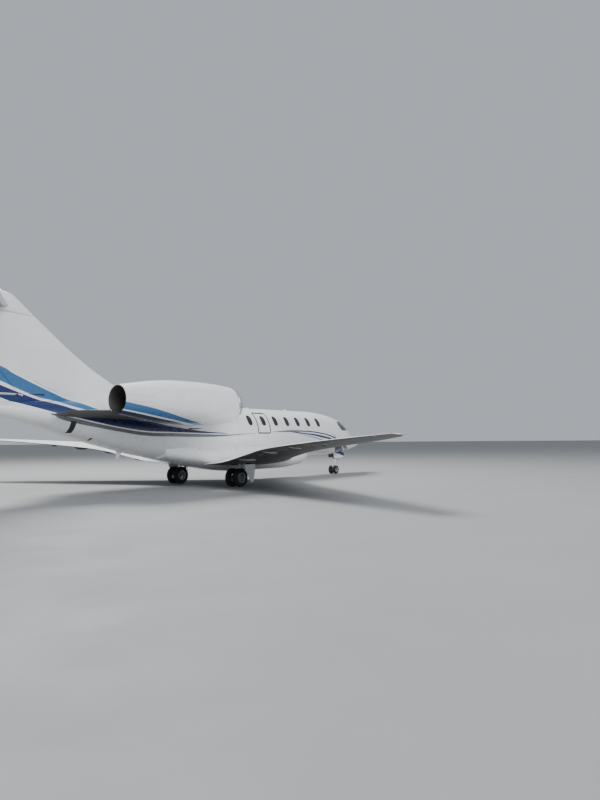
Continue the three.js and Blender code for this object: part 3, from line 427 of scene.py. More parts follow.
def pchip(xs, ys, x):
    """Smooth curve through a table that never overshoots it. ys may have several columns."""
    xs, ys, x = np.asarray(xs, float), np.asarray(ys, float), np.asarray(x, float)
    if ys.ndim == 1:
        ys = ys[:, None]
    h = np.diff(xs)[:, None]
    slope = np.diff(ys, axis=0) / h
    tangent = np.zeros_like(ys)
    same = slope[:-1] * slope[1:] > 0
    w1, w2 = 2 * h[1:] + h[:-1], h[1:] + 2 * h[:-1]
    with np.errstate(divide="ignore", invalid="ignore"):
        inner = (w1 + w2) / (w1 / slope[:-1] + w2 / slope[1:])
    tangent[1:-1] = np.where(same, inner, 0)
    tangent[0], tangent[-1] = slope[0], slope[-1]
    index = np.clip(np.searchsorted(xs, x) - 1, 0, len(xs) - 2)
    t = ((x - xs[index]) / h[index, 0])[..., None]
    a, b = ys[index], ys[index + 1]
    ma, mb = tangent[index] * h[index], tangent[index + 1] * h[index]
    start = (2 * t**3 - 3 * t**2 + 1) * a + (t**3 - 2 * t**2 + t) * ma
    return start + (3 * t**2 - 2 * t**3) * b + (t**3 - t**2) * mb


def mesh_of(name, points, faces):
    mesh = bpy.data.meshes.new(name)
    mesh.from_pydata([tuple(p) for p in points], [], [tuple(f) for f in faces])
    return mesh


def smooth(mesh, angle=32.0):
    """Smooth shading, but for edges that turn by more than some degrees."""
    mesh.shade_smooth()
    mesh.set_sharp_from_angle(angle=math.radians(angle))


def piece(name, points, faces, material, body="airframe", slot="airframe_paint", replaces="", angle=32.0):
    """A mesh piece from points in metres, on a body, with a material's name and what it stands for."""
    mesh = mesh_of(name, points, faces)
    work = bmesh.new()
    work.from_mesh(mesh)
    bmesh.ops.remove_doubles(work, verts=work.verts, dist=1e-5)
    bmesh.ops.dissolve_degenerate(work, edges=work.edges, dist=1e-6)
    bmesh.ops.recalc_face_normals(work, faces=work.faces)
    work.to_mesh(mesh)
    work.free()
    smooth(mesh, angle)
    made = link(name, mesh)
    mesh.materials.append(MATERIALS[material])
    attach(made, body)
    if replaces:
        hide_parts(replaces)
    return made


def around(count):
    """Angles in equal steps, once round."""
    return [2 * math.pi * k / count for k in range(count)]


def loft(rings, caps=(True, True)):
    """Points and faces of a skin through closed rings of equal length."""
    count = len(rings[0])
    points = [p for ring in rings for p in ring]
    faces = []
    for row in range(len(rings) - 1):
        for i in range(count):
            a, b = row * count + i, row * count + (i + 1) % count
            faces.append((a, b, b + count, a + count))
    if caps[0]:
        faces.append(tuple(range(count))[::-1])
    if caps[1]:
        last = (len(rings) - 1) * count
        faces.append(tuple(range(last, last + count)))
    return points, faces


def join(parts):
    """Several (points, faces) as one."""
    points, faces = [], []
    for more, sides in parts:
        base = len(points)
        points += [tuple(p) for p in more]
        faces += [tuple(i + base for i in side) for side in sides]
    return points, faces


def flip(part):
    """The same (points, faces) on the other side."""
    points, faces = part
    return [(x, -y, z) for x, y, z in points], [tuple(reversed(face)) for face in faces]


def both(name, part, material, body="airframe", replaces="", **more):
    """A piece made for the right side, and its mirror image on the left."""
    for side, _ in SIDES:
        made = part if side == "right" else flip(part)
        node = f"{replaces}_{side}" if replaces else ""
        piece(f"{name}_{side}", *made, material, body=body.replace("SIDE", side), replaces=node, **more)


def frame_of(direction):
    """A direction, and two more at right angles to it and to each other."""
    along = Vector(direction).normalized()
    helper = Vector((0, 0, 1)) if abs(along.z) < 0.9 else Vector((1, 0, 0))
    side = along.cross(helper).normalized()
    return along, side, along.cross(side)


def turned(profile, centre, axis, sides):
    """Points and faces of a closed profile [(along, radius), ...] in mm, turned about an axis."""
    along, side, up = frame_of({"x": (1, 0, 0), "y": (0, 1, 0), "z": (0, 0, 1)}[axis])
    centre = Vector(centre)
    rings = []
    for angle in around(sides):
        out = side * math.cos(angle) + up * math.sin(angle)
        rings.append([tuple(centre + along * (a / 1000) + out * (max(r, 0.0) / 1000)) for a, r in profile])
    points, faces = loft(rings, (False, False))
    count = len(profile)
    last = (sides - 1) * count
    for i in range(count):
        a, b = last + i, last + (i + 1) % count
        faces.append((a, b, (i + 1) % count, i))
    faces = [tuple(dict.fromkeys(face)) for face in faces]
    return points, [face for face in faces if len(face) > 2]


def bar(a, b, radius, sides=20, end_radius=None):
    """A round bar between two points in metres, with small chamfers at its ends."""
    a, b = Vector(a), Vector(b)
    along, side, up = frame_of(b - a)
    length = (b - a).length
    end = radius if end_radius is None else end_radius
    edge = min(0.12 * min(radius, end), 0.2 * length)
    out = [side * math.cos(t) + up * math.sin(t) for t in around(sides)]
    steps = ((0, radius - edge), (edge, radius), (length - edge, end), (length, end - edge))
    return loft([[tuple(a + along * offset + o * r) for o in out] for offset, r in steps])


def cross_bar(station, across, half, level, radius, sides):
    """A round bar from side to side, in millimetres."""
    ends = (metres(station, across + way * half, level) for way in (-1, 1))
    return bar(*ends, radius / 1000, sides)


def hose(path, radius):
    """A round tube along a smooth path through points of [station, y, level], in millimetres."""
    path = np.array([metres(*p) for p in path], float)
    knots = np.concatenate([[0], np.cumsum(np.linalg.norm(np.diff(path, axis=0), axis=1))])
    steps = np.linspace(0, knots[-1], max(12, 6 * len(path)))
    line = [Vector(p) for p in pchip(knots, path, steps)]
    rings = []
    side = frame_of(line[1] - line[0])[1]
    for i, p in enumerate(line):
        along = (line[min(i + 1, len(line) - 1)] - line[max(i - 1, 0)]).normalized()
        side = (side - along * side.dot(along)).normalized()
        up = along.cross(side)
        out = [side * math.cos(t) + up * math.sin(t) for t in around(10)]
        rings.append([tuple(p + o * (radius / 1000)) for o in out])
    return loft(rings)


def slab(outline, thickness, to_point, edge=0.0):
    """A plate from a flat outline of (u, v); to_point(u, v, w) places it, and edge rounds its rims."""
    outline = np.array(outline, float)
    layers = [(outline, 0), (outline, thickness)]
    if edge:
        centre = outline.mean(axis=0)
        reach = np.linalg.norm(outline - centre, axis=1)[:, None]
        inner = centre + (outline - centre) * (reach - edge) / reach
        layers = [(inner, 0), (outline, edge), (outline, thickness - edge), (inner, thickness)]
    return loft([[to_point(u, v, w) for u, v in ring] for ring, w in layers])


def rounded(outline, radius, steps=5):
    """A flat outline with its corners rounded."""
    made = []
    count = len(outline)
    for i in range(count):
        before, here, after = (Vector(outline[k % count]) for k in (i - 1, i, i + 1))
        a, b = before - here, after - here
        cut = min(radius, 0.45 * a.length, 0.45 * b.length)
        p, q = here + a.normalized() * cut, here + b.normalized() * cut
        for k in range(steps + 1):
            t = k / steps
            made.append(tuple(p * (1 - t) ** 2 + here * 2 * t * (1 - t) + q * t**2))
    return made


def dense(outline, step):
    """A closed outline with points at most one step apart."""
    made = []
    for i, here in enumerate(outline):
        after = outline[(i + 1) % len(outline)]
        count = max(1, math.ceil(math.dist(here, after) / step))
        made += [tuple(h + (a - h) * k / count for h, a in zip(here, after)) for k in range(count)]
    return made


def side_plate(outline, y0, y1, edge=0.0, radius=0.0):
    """A side view outline of [station, level], as wide as from y0 to y1, all in millimetres."""
    y0, y1 = sorted((y0, y1))
    if radius:
        outline = rounded(outline, radius)
    return slab(outline, y1 - y0, lambda s, z, w: metres(s, y0 + w, z), edge)


def block(front, back, y0, y1, z0, z1, edge=0.0):
    """A block between two stations, two widths and two levels, with its edges cut back, all in mm."""
    (y0, y1), (front, back) = sorted((y0, y1)), sorted((front, back))
    (x0, y0, z0), (x1, y1, z1) = metres(back, y0, z0), metres(front, y1, z1)
    if not edge:
        outline = [(x0, y0), (x1, y0), (x1, y1), (x0, y1)]
        return loft([[(x, y, z) for x, y in outline] for z in (z0, z1)])
    c = edge / 1000
    outline = [
        (x0 + c, y0), (x1 - c, y0), (x1, y0 + c), (x1, y1 - c),
        (x1 - c, y1), (x0 + c, y1), (x0, y1 - c), (x0, y0 + c),
    ]
    mid_x, mid_y = (x0 + x1) / 2, (y0 + y1) / 2
    inner = [(x - math.copysign(c, x - mid_x), y - math.copysign(c, y - mid_y)) for x, y in outline]
    rings = [(inner, z0), (outline, z0 + c), (outline, z1 - c), (inner, z1)]
    return loft([[(x, y, z) for x, y in ring] for ring, z in rings])


# Body skins


class Tube:
    """A body's surface, read by station and angle: 0 is the top, and the left side comes before the right."""

    def __init__(self, table, squareness=1.0, tip=0.0):
        self.stations = [row[0] for row in table]
        self.columns = [row[1:] for row in table]
        self.squareness, self.tip = squareness, tip

    def row(self, station):
        return pchip(self.stations, self.columns, np.asarray(station, float))

    def point(self, station, angle, depth=0.0):
        station, angle = np.asarray(station, float), np.asarray(angle, float)
        if self.tip:
            station = station + depth * np.clip(1 - station / 600, 0, 1)
        top, middle, bottom, half = np.moveaxis(self.row(station), -1, 0)
        cos, sin = np.cos(angle), np.sin(angle)
        under = cos < 0
        bend = lambda value: np.sign(value) * np.abs(value) ** np.where(under, self.squareness, 1.0)
        up = np.where(under, middle - bottom, top - middle) - depth
        out = half - depth
        if self.tip:
            blunt = np.sqrt(np.clip(1 - (np.clip(self.tip - station, 0, None) / self.tip) ** 2, 0, 1))
            up, out = np.maximum(up * blunt, 0), np.maximum(out * blunt, 0)
        return np.stack([(NOSE_X - station), out * bend(sin), middle + up * bend(cos)], -1) / 1000

    def angle(self, station, level, side, least=0.0):
        """The angle of a level on one side; never nearer to the top than least mm from the middle."""
        top, middle, bottom, half = self.row(station)
        reach = top - middle if level > middle else middle - bottom
        found = math.acos(max(-1, min(1, (level - middle) / reach)))
        if least:
            found = max(found, math.asin(least / half))
        return found if side > 0 else 2 * math.pi - found

    def outline(self, points, side, least=0.0, step=30):
        """A side view outline of [station, level] points as [station, angle] points."""
        return [(s, self.angle(s, z, side, least)) for s, z in dense(points, step)]

    def belly(self, front, back, half):
        """The outline of a hole in the underside, as wide as half on each side of the middle."""
        stations = np.linspace(front, back, round((back - front) / 50))
        lean = [math.asin(half / self.row(s)[3]) for s in stations]
        left = [(s, math.pi - a) for s, a in zip(stations, lean)]
        right = [(s, math.pi + a) for s, a in zip(stations, lean)]
        return left + right[::-1]

    def skin(self, stations, sides):
        """A closed skin through rings at some stations."""
        return loft([[tuple(p) for p in self.point(np.full(sides, s), around(sides))] for s in stations])


FLAT_RADIUS = 0.95  # metres of skin per radian in the flat layout


def inside(points, outline):
    """Which flat points lie inside a closed outline."""
    x, y = points[:, 0], points[:, 1]
    hit = np.zeros(len(points), bool)
    for (ax, ay), (bx, by) in zip(outline, np.roll(outline, 1, axis=0)):
        crossed = (ay > y) != (by > y)
        if crossed.any():
            hit ^= crossed & (x < (bx - ax) * (y - ay) / (by - ay + 1e-30) + ax)
    return hit


def inset(outline, distance):
    """An outline in station and angle, moved inwards by some mm."""
    flat = np.array([(s, a * FLAT_RADIUS * 1000) for s, a in outline])
    flat = flat[np.linalg.norm(flat - np.roll(flat, 1, axis=0), axis=1) > 1]
    before, after = np.roll(flat, 1, axis=0), np.roll(flat, -1, axis=0)
    along = after - before
    along /= np.linalg.norm(along, axis=1)[:, None]
    area = np.sum(flat[:, 0] * after[:, 1] - after[:, 0] * flat[:, 1])
    normal = np.stack([-along[:, 1], along[:, 0]], 1) * (1 if area > 0 else -1)
    moved = flat + normal * distance
    return [(s, v / FLAT_RADIUS / 1000) for s, v in moved]


def fill(loops, grid=()):
    """Points and triangles between closed flat loops: the first is the outside, and the rest are holes."""
    points, edges = [], []
    for loop in loops:
        base = len(points)
        points += [Vector(p) for p in loop]
        edges += [(base + i, base + (i + 1) % len(loop)) for i in range(len(loop))]
    points += [Vector(p) for p in grid]
    made, _, faces, *_ = delaunay_2d_cdt(points, edges, [], 0, 1e-7)
    spots = np.array([tuple(p) for p in made])
    centres = np.array([spots[list(face)].mean(0) for face in faces])
    keep = inside(centres, np.array(loops[0]))
    for loop in loops[1:]:
        keep &= ~inside(centres, np.array(loop))
    return spots, [tuple(face) for face, kept in zip(faces, keep) if kept]


def rims(faces):
    """The edges that only one face has."""
    used = set()
    for face in faces:
        used.update((a, face[(i + 1) % len(face)]) for i, a in enumerate(face))
    return [(a, b) for a, b in used if (b, a) not in used]


def pierced(loops, low, high, to_point):
    """A flat plate with holes, between two heights."""
    spots, faces = fill(loops)
    count = len(spots)
    points = [to_point(u, v, w) for w in (low, high) for u, v in spots]
    under = [tuple(i for i in reversed(face)) for face in faces]
    over = [tuple(i + count for i in face) for face in faces]
    walls = [(a, b, b + count, a + count) for a, b in rims(faces)]
    return points, under + over + walls


def shell(tube, domain, holes=(), outer=0.0, inner=60, step=60.0):
    """A closed shell over part of a body: the domain and its holes are outlines in station and angle.

    outer and inner are the depths of its two faces in the body, in mm, and step is the size of its faces.
    """
    gap = step / 1000
    flat = lambda loop: np.array(dense([(s / 1000, a * FLAT_RADIUS) for s, a in loop], gap), float)
    loops = [flat(loop) for loop in (domain, *holes)]
    low, high = loops[0].min(0), loops[0].max(0)
    counts = [max(2, math.ceil((h - l) / gap)) for l, h in zip(low, high)]
    axes = [np.linspace(l, h, n + 1)[1:-1] for l, h, n in zip(low, high, counts)]
    grid = np.array([(u, v) for u in axes[0] for v in axes[1]]).reshape(-1, 2)
    if len(grid):
        keep = inside(grid, loops[0])
        for index, loop in enumerate(loops):
            if index:
                keep &= ~inside(grid, loop)
            near = np.min([np.hypot(*(grid - p).T) for p in loop], axis=0)
            keep &= near > 0.4 * gap
        grid = grid[keep]
    spots, faces = fill(loops, grid)
    count = len(spots)
    station, angle = spots[:, 0] * 1000, spots[:, 1] / FLAT_RADIUS
    surface = np.concatenate([tube.point(station, angle, outer), tube.point(station, angle, inner)])
    walls = []
    rim = 2 * math.pi * FLAT_RADIUS
    for a, b in rims(faces):
        across = (spots[a][1], spots[b][1])
        # Along the top, a shell that goes all round meets itself
        if max(across) < 1e-6 or min(across) > rim - 1e-6:
            continue
        walls.append((b, a, a + count, b + count))
    under = [tuple(i + count for i in reversed(face)) for face in faces]
    return [tuple(p) for p in surface], faces + under + walls


FUSELAGE = Tube(
    [
        (0, 1500, 1460, 1420, 45),
        (90, 1570, 1455, 1365, 130),
        (300, 1645, 1450, 1310, 250),
        (700, 1790, 1490, 1230, 420),
        (1100, 1935, 1540, 1155, 555),
        (1550, 2140, 1620, 1085, 680),
        (2200, 2570, 1750, 1000, 835),
        (2800, 2745, 1860, 960, 925),
        (3600, 2870, 1930, 945, 975),
        (4500, 2935, 1950, 945, 990),
        (11600, 2940, 1950, 955, 990),
        (12900, 2940, 1965, 1030, 955),
        (14000, 2940, 2030, 1175, 895),
        (15000, 2930, 2130, 1400, 800),
        (16400, 2900, 2300, 1755, 620),
        (17500, 2850, 2450, 2085, 430),
        (18850, 2745, 2590, 2430, 165),
    ],
    tip=60.0,
)
FAIRING = Tube(
    [
        (4900, 1500, 1200, 945, 420),
        (5380, 1500, 1180, 735, 760),
        (5900, 1520, 1160, 570, 980),
        (7200, 1540, 1140, 480, 1090),
        (9700, 1540, 1140, 485, 1090),
        (11300, 1540, 1170, 680, 1060),
        (12300, 1560, 1250, 870, 930),
        (13300, 1600, 1350, 1060, 700),
    ],
    squareness=0.62,
)
SEAM = {"cockpit": 1550, "cabin": 4350, "aft": 10000, "tail": 14300, "end": 18850}
SEAM_GAP = 0.3
WINDOWS = {"stations": (4740, 5490, 6250, 6980, 7740, 8500, 9300), "level": 2420, "half": (138, 200)}
EXIT_WINDOW = 5  # its place in the row
WINDSHIELD = [(1500, 2110), (2040, 2110), (2290, 2500), (1500, 2500)]
POST = 40  # half width of the post between the windshields
SIDE_WINDOW = [(2150, 2110), (2760, 2110), (2930, 2300), (2900, 2470), (2390, 2490)]
DOOR = {"front": 3350, "back": 4130, "bottom": 1150, "top": 2600}
EXIT = {"front": 8160, "back": 8920, "bottom": 1920, "top": 2740}
TAIL_PIPE = {"rim": 18775, "front": 18200, "radius": 116, "level": 2588}
TAIL_VENTS = [
    [(16600, 1905), (16745, 1905), (16744, 2253), (16579, 2253)],
    [(15940, 1680), (16010, 1680), (15990, 1760), (15920, 1760)],
    # The last is a dark patch on the body under the pylon's leading edge
    [(11850, 2092), (12160, 2052), (12500, 2042), (12560, 2062), (12540, 2088), (12180, 2086)],
]
NOSE_WELL = {"front": 1250, "back": 2700, "half": 190, "top": 1240}
# Slot and lining of a skin, by its paint
SKIN_LOOKS = {
    "nose": ("nose_paint", "trim"),
    "front": ("fuselage_paint", "trim"),
    "aft": ("airframe_paint", "primer"),
}


def ring_domain(front, back):
    return [(front, 0), (back, 0), (back, 2 * math.pi), (front, 2 * math.pi)]


def window_outline(station):
    """A cabin window in side view: a tall rounded box."""
    half_width, half_height = WINDOWS["half"]
    bend = lambda value: math.copysign(abs(value) ** 0.72, value)
    level = WINDOWS["level"]
    turn = around(40)
    return [(station + half_width * bend(math.cos(t)), level + half_height * bend(math.sin(t))) for t in turn]


def opening(spec, edge, radius):
    """A door's outline in side view, moved in by an edge, with round corners."""
    front, back = spec["front"] + edge, spec["back"] - edge
    bottom, top = spec["bottom"] + edge, spec["top"] - edge
    return rounded([(front, bottom), (back, bottom), (back, top), (front, top)], radius)


def line_inside(made, material, centre, limit=0.15):
    """Faces that look in, and the edges of the openings, get a lining's material."""
    made.data.materials.append(MATERIALS[material])
    for face in made.data.polygons:
        y, z = centre(face.center.x)
        out = Vector((0, face.center.y - y, face.center.z - z))
        if face.normal.dot(out) < limit * out.length and face.normal.x < 0.5:
            face.material_index = 1


def body_middle(x):
    return 0, FUSELAGE.row(NOSE_X - x * 1000)[1] / 1000


def frame_ring(domain, hole):
    """A thin frame on the skin, between two outlines."""
    return shell(FUSELAGE, domain, [hole], outer=-1.2, inner=5)


def port(tube, station, level, side, radius):
    """A small round cover on a body."""
    spots = [(station + radius * math.cos(a), level + radius * math.sin(a)) for a in around(16)]
    return shell(tube, [(s, tube.angle(s, z, side)) for s, z in spots], outer=-1, inner=3)


def make_body():
    wells = [FUSELAGE.belly(NOSE_WELL["front"], NOSE_WELL["back"], NOSE_WELL["half"])]
    holes = [*wells, FUSELAGE.outline(opening(DOOR, 0, 60), 1)]
    panes, rows = {}, {}
    for side in (1, -1):
        rows[side] = [FUSELAGE.outline(window_outline(s), side) for s in WINDOWS["stations"]]
        front = FUSELAGE.outline(WINDSHIELD, side, POST)
        small = FUSELAGE.outline(rounded(SIDE_WINDOW, 60), side)
        holes += [front, small]
        front = inset([(max(s, SEAM["cockpit"] + 4), a) for s, a in front], 4)
        small = inset(small, 4)
        panes[side] = (("windshield_pane", front, "windshield"), ("side_pane", small, "cockpit_window"))
    exit_window = rows[-1][EXIT_WINDOW]
    windows = rows[1] + [row for row in rows[-1] if row is not exit_window]
    windows.append(FUSELAGE.outline(opening(EXIT, 0, 90), -1))
    ends = [0, SEAM["cockpit"], SEAM["cabin"], SEAM["aft"], SEAM["tail"], TAIL_PIPE["rim"]]
    nose, cockpit, cabin, aft, tail = (ring_domain(a, b - SEAM_GAP) for a, b in zip(ends, ends[1:]))
    exit_edge = FUSELAGE.outline(opening(EXIT, 4, 88), -1)
    # Name, node, domain, holes, wall, size of its faces, paint
    skins = (
        ("nose_skin", "nose_section", nose, wells, 30, 42, "nose"),
        ("forward_skin", "forward_fuselage", cockpit, holes, 60, 50, "front"),
        ("cabin_skin", "cabin_fuselage", cabin, windows, 60, 62, "front"),
        ("exit_panel", "emergency_exit", exit_edge, [exit_window], 60, 50, "front"),
        ("aft_skin", "aft_fuselage", aft, [], 50, 75, "aft"),
        ("tail_skin", "tail_cone", tail, [], 40, 70, "aft"),
    )
    for name, node, domain, cuts, wall, step, look in skins:
        slot, lining = SKIN_LOOKS[look]
        skin = shell(FUSELAGE, domain, cuts, inner=wall, step=step)
        made = piece(name, *skin, look, slot=slot, replaces=node)
        line_inside(made, lining, body_middle)
    for word, side in SIDES:
        glass = [shell(FUSELAGE, inset(row, 2), outer=9, inner=15) for row in rows[side]]
        edges = [shell(FUSELAGE, inset(row, 0.8), [inset(row, 15)], outer=2, inner=30) for row in rows[side]]
        band = f"window_band_{word}"
        piece(f"window_panes_{word}", *join(glass), "pane", slot="cabin_glass", replaces=band)
        piece(f"window_rims_{word}", *join(edges), "bare", slot="cabin_glass")
        for name, loop, node in panes[side]:
            pane = shell(FUSELAGE, loop, outer=7, inner=19, step=45)
            piece(f"{name}_{word}", *pane, "glass", slot="cockpit_glass", replaces=f"{node}_{word}")
            edge = frame_ring(inset(loop, -34), inset(loop, -3))
            piece(f"{name}_frame_{word}", *edge, "seal", slot="fuselage_paint")
    edges = [FUSELAGE.outline(opening(EXIT, grow, 90 - grow), -1) for grow in (-12, 38)]
    piece("exit_frame", *frame_ring(*edges), "seal", slot="fuselage_paint")


def make_body_details():
    rim = shell(FUSELAGE, ring_domain(TAIL_PIPE["rim"], SEAM["end"]), inner=38, step=70)
    piece("tail_cone_rim", *rim, "bare")
    front, radius, back = TAIL_PIPE["front"], TAIL_PIPE["radius"], SEAM["end"] - 6
    pipe = [
        (front, 0.1), (front, radius), (back, radius), (back, radius - 5), (front + 6, radius - 5),
        (front + 6, 0.1),
    ]
    pipe = turned([(-s, r) for s, r in pipe], metres(0, 0, TAIL_PIPE["level"]), "x", 40)
    piece("tail_pipe_liner", *pipe, "hot", slot="core_metal")
    vents = []
    for outline in TAIL_VENTS:
        vents.append(shell(FUSELAGE, FUSELAGE.outline(outline, -1, step=40), outer=-0.6, inner=6))
    piece("tail_vents", *join(vents), "seal")
    covers = ((FUSELAGE, 13300, 1226, 16), (FUSELAGE, 7808, 1575, 15), (FAIRING, 11935, 1372, 16))
    ports = [port(tube, s, z, side, radius) for tube, s, z, radius in covers for side in (1, -1)]
    piece("drain_ports", *join(ports), "seal")
    probes, vanes = [], []
    for _, way in SIDES:
        for foot, bend, tip, thick, thin in (
            ((3740, 972, 1911), (3700, 1012, 1895), (3480, 1010, 1800), (16, 12), (10, 7)),
            ((1180, 560, 1560), (1150, 606, 1556), (1030, 600, 1556), (13, 10), (9, 5)),
        ):
            foot, bend, tip = (metres(s, way * y, z) for s, y, z in (foot, bend, tip))
            probes.append(bar(foot, bend, thick[0] / 1000, 16, thick[1] / 1000))
            probes.append(bar(bend, tip, thin[0] / 1000, 14, thin[1] / 1000))
        foot = FUSELAGE.row(1950)[3]
        ends = (metres(1950, way * (foot + out), 1640) for out in (-8, 8))
        vanes.append(bar(*ends, 0.030, 24))
        blade = [(1935, 1650), (1985, 1646), (1985, 1634), (1935, 1630)]
        vanes.append(side_plate(blade, way * (foot + 8), way * (foot + 42), 2))
    piece("air_probes", *join(probes), "bare", slot="gear_steel")
    piece("air_vanes", *join(vanes), "panel", slot="gear_steel")
    aerials = [
        side_plate([(5880, 2930), (5925, 2984), (5945, 2990), (6040, 2990), (6075, 2930)], -11, 11, 4, 14),
        side_plate([(8380, 2930), (8430, 2978), (8540, 2978), (8570, 2930)], -9, 9, 3, 14),
    ]
    piece("roof_aerials", *join(aerials), "white", slot="fuselage_paint")
    plate = rounded([(3660, 1730), (3840, 1730), (3840, 1790), (3660, 1790)], 24)
    plate = shell(FUSELAGE, FUSELAGE.outline(plate, 1), outer=-1.5, inner=4)
    grip = hose([(3690, 984, 1760), (3700, 1001, 1760), (3800, 1001, 1760), (3810, 984, 1760)], 8)
    piece("door_handle", *join([plate, grip]), "bare", body="entry_door", slot="gear_steel")


make_body()
stations = [*np.linspace(4900, 5900, 16), *np.linspace(6100, 11300, 30), *np.linspace(11500, 13300, 16)]
piece("belly_fairing_skin", *FAIRING.skin(stations, 112), "white", replaces="belly_fairing")

# Wings, tailplanes and fin

FIN = [
    (2650, 12500, 18820, 430),
    (2950, 13350, 19040, 420),
    (3150, 14200, 19187, 410),
    (3470, 14950, 19421, 390),
    (4090, 16050, 19876, 340),
    (5245, 17625, 20722, 265),
]
PYLON = [
    (300, 12000, 2400, 17560, 2345, 270),
    (1300, 12350, 2520, 16950, 2535, 250),
    (1520, 12450, 2560, 16150, 2550, 240),
    (1900, 12700, 2640, 15500, 2610, 230),
]


def half_height(share):
    """Half the aerofoil's thickness at a share of the chord, smooth round the nose."""
    roots = [math.sqrt(s) for s, _ in AEROFOIL]
    return float(pchip(roots, [h for _, h in AEROFOIL], math.sqrt(max(0.0, min(1.0, share))))[0])


class Foil:
    """A wing-like surface: spans along it, with points at a share of the chord on its two faces."""

    def __init__(self, table, upper=0.5, place=None):
        self.spans = [row[0] for row in table]
        self.columns = [row[1:] for row in table]
        self.upper = upper
        self.place = place or (lambda span, station, level: metres(station, -span, level))

    def row(self, span):
        return pchip(self.spans, self.columns, float(span))

    def point(self, span, share, side, sink=0.0):
        """side is 1 on the upper face and -1 on the lower; sink moves the point into the surface, in mm."""
        front, low, back, high, thickness = self.row(span)
        rise = self.upper if side > 0 else self.upper - 1
        offset = half_height(share) * thickness * rise
        offset -= math.copysign(min(sink, abs(offset)), rise)
        return self.place(span, front + share * (back - front), low + share * (high - low) + offset)

    def ring(self, span, shares):
        """A closed ring over the upper face and back under the lower one."""
        over = [self.point(span, s, 1) for s in shares]
        return over + [self.point(span, s, -1) for s in shares[1:]][::-1]

    def share(self, span, station):
        front, _, back, _, _ = self.row(span)
        return (station - front) / (back - front)

    def chord(self, span):
        front, _, back, _, _ = self.row(span)
        return back - front


class FinFoil(Foil):
    """The same, upright: its span is the level, and side 1 is the left face."""

    def __init__(self, table):
        rows = [(level, front, 0, back, 0, thick) for level, front, back, thick in table]
        super().__init__(rows, 0.5, lambda span, station, out: metres(station, out, span))


def fixed_surface(foil, spans, hinge, cuts, nose=40.0, gap=12.0):
    """A surface with troughs for its controls, and the lips over them.

    hinge(span) is the hinge line's station, cuts are (low, high) spans, nose is a trough's length ahead of
    its edge, and gap is how far ahead of the hinge line that edge is, all in mm.
    """
    lip, front, back = 3.0, 26, 12
    spans = sorted({float(s) for s in [*spans, *(end for cut in cuts for end in cut)]})
    points, faces, rows = [], [], []

    def add(spots):
        points.extend(tuple(p) for p in spots)
        return list(range(len(points) - len(spots), len(points)))

    def strip(a, b):
        for k in range(len(a) - 1):
            faces.append((a[k], a[k + 1], b[k + 1], b[k]))

    for span in spans:
        edge = min(0.97, foil.share(span, hinge(span) - gap))
        wall = edge - nose / foil.chord(span)
        ahead = [edge * (k / front) ** 1.7 for k in range(front + 1)]
        behind = [edge + (1 - edge) * k / back for k in range(1, back + 1)]
        over = add([foil.point(span, s, 1) for s in ahead])
        under = [over[0]] + add([foil.point(span, s, -1) for s in ahead[1:]])
        tail = add([foil.point(span, s, 1) for s in behind])
        tail += add([foil.point(span, s, -1) for s in behind])[::-1]
        corners = ((edge, 1), (wall, 1), (wall, -1), (edge, -1))
        rows.append((span, over, under, tail, add([foil.point(span, s, side, lip) for s, side in corners])))

    for low, high in zip(rows, rows[1:]):
        strip(low[1], high[1])
        strip(high[2], low[2])
        middle = (low[0] + high[0]) / 2
        part = 4 if any(start < middle < end for start, end in cuts) else 3
        strip([low[1][-1], *low[part], low[2][-1]], [high[1][-1], *high[part], high[2][-1]])
    # Walls at the ends of the troughs
    for span, over, under, tail, trough in rows[1:-1]:
        if any(abs(span - end) < 1e-6 for cut in cuts for end in cut):
            faces.append((over[-1], *tail, under[-1], *trough[::-1]))
    for row, way in ((rows[0], 1), (rows[-1], -1)):
        span, over, under, tail, trough = row
        cut = any(start - 1e-6 <= span <= end + 1e-6 for start, end in cuts)
        faces.append(tuple([*over, *(trough if cut else tail), *under[:0:-1]][::way]))
    return points, faces


def moving_surface(foil, spans, hinge, step=5.0, blend=25.0, nose=0.55, ease=0.0):
    """A control behind its hinge line, with a round nose that sits a step below the fixed skin.

    ease is how much longer the shoulder behind the nose is, as a share of the half thickness there.
    """
    rings = []
    for span in spans:
        at_hinge = foil.share(span, hinge(span))
        rise = [np.array(foil.point(span, at_hinge, side, step)) for side in (1, -1)]
        middle, half = (rise[0] + rise[1]) / 2, (rise[0] - rise[1]) / 2
        forward = np.array(foil.point(span, at_hinge - 0.01, 1)) - np.array(foil.point(span, at_hinge, 1))
        forward /= np.linalg.norm(forward)
        reach = forward * np.linalg.norm(half) * nose
        arc = [middle + half * math.cos(t) + reach * math.sin(t) for t in np.linspace(math.pi, 0, 13)]
        start = at_hinge + (blend + ease * 1000 * np.linalg.norm(half)) / foil.chord(span)
        shares = spread(start, 1, 20)
        faces = [[foil.point(span, s, side) for s in shares] for side in (1, -1)]
        rings.append([tuple(p) for p in arc] + faces[0] + faces[1][::-1])
    return loft(rings)


def line(points):
    """A hinge line's station at a span, by straight lines between points of (span, station)."""
    spans, stations = zip(*points)
    return lambda span: float(np.interp(span, spans, stations))


def spread(low, high, count):
    """Even steps from one value to another."""
    return [low + (high - low) * k / count for k in range(count + 1)]


def tip_spans(low, depth):
    """Spans that crowd towards a rounded tip."""
    return [low + depth * math.sin(math.pi / 2 * k / 7) for k in range(8)]


wing = Foil(WING, 0.62)
tailplane = Foil(TAILPLANE)
fin = FinFoil(FIN)
WING_HINGE = line([(700, 10830), (1130, 10930), (6150, 12660), (6350, 12790), (9100, 13960), (9740, 14200)])
TAIL_HINGE = line([(60, 19935), (380, 20090), (3740, 21745), (3975, 21850)])
FIN_HINGE = line([(2650, 17828), (2990, 18110), (5190, 19935), (5245, 19981)])
END_GAP = 16
RUDDER_GAP = 34


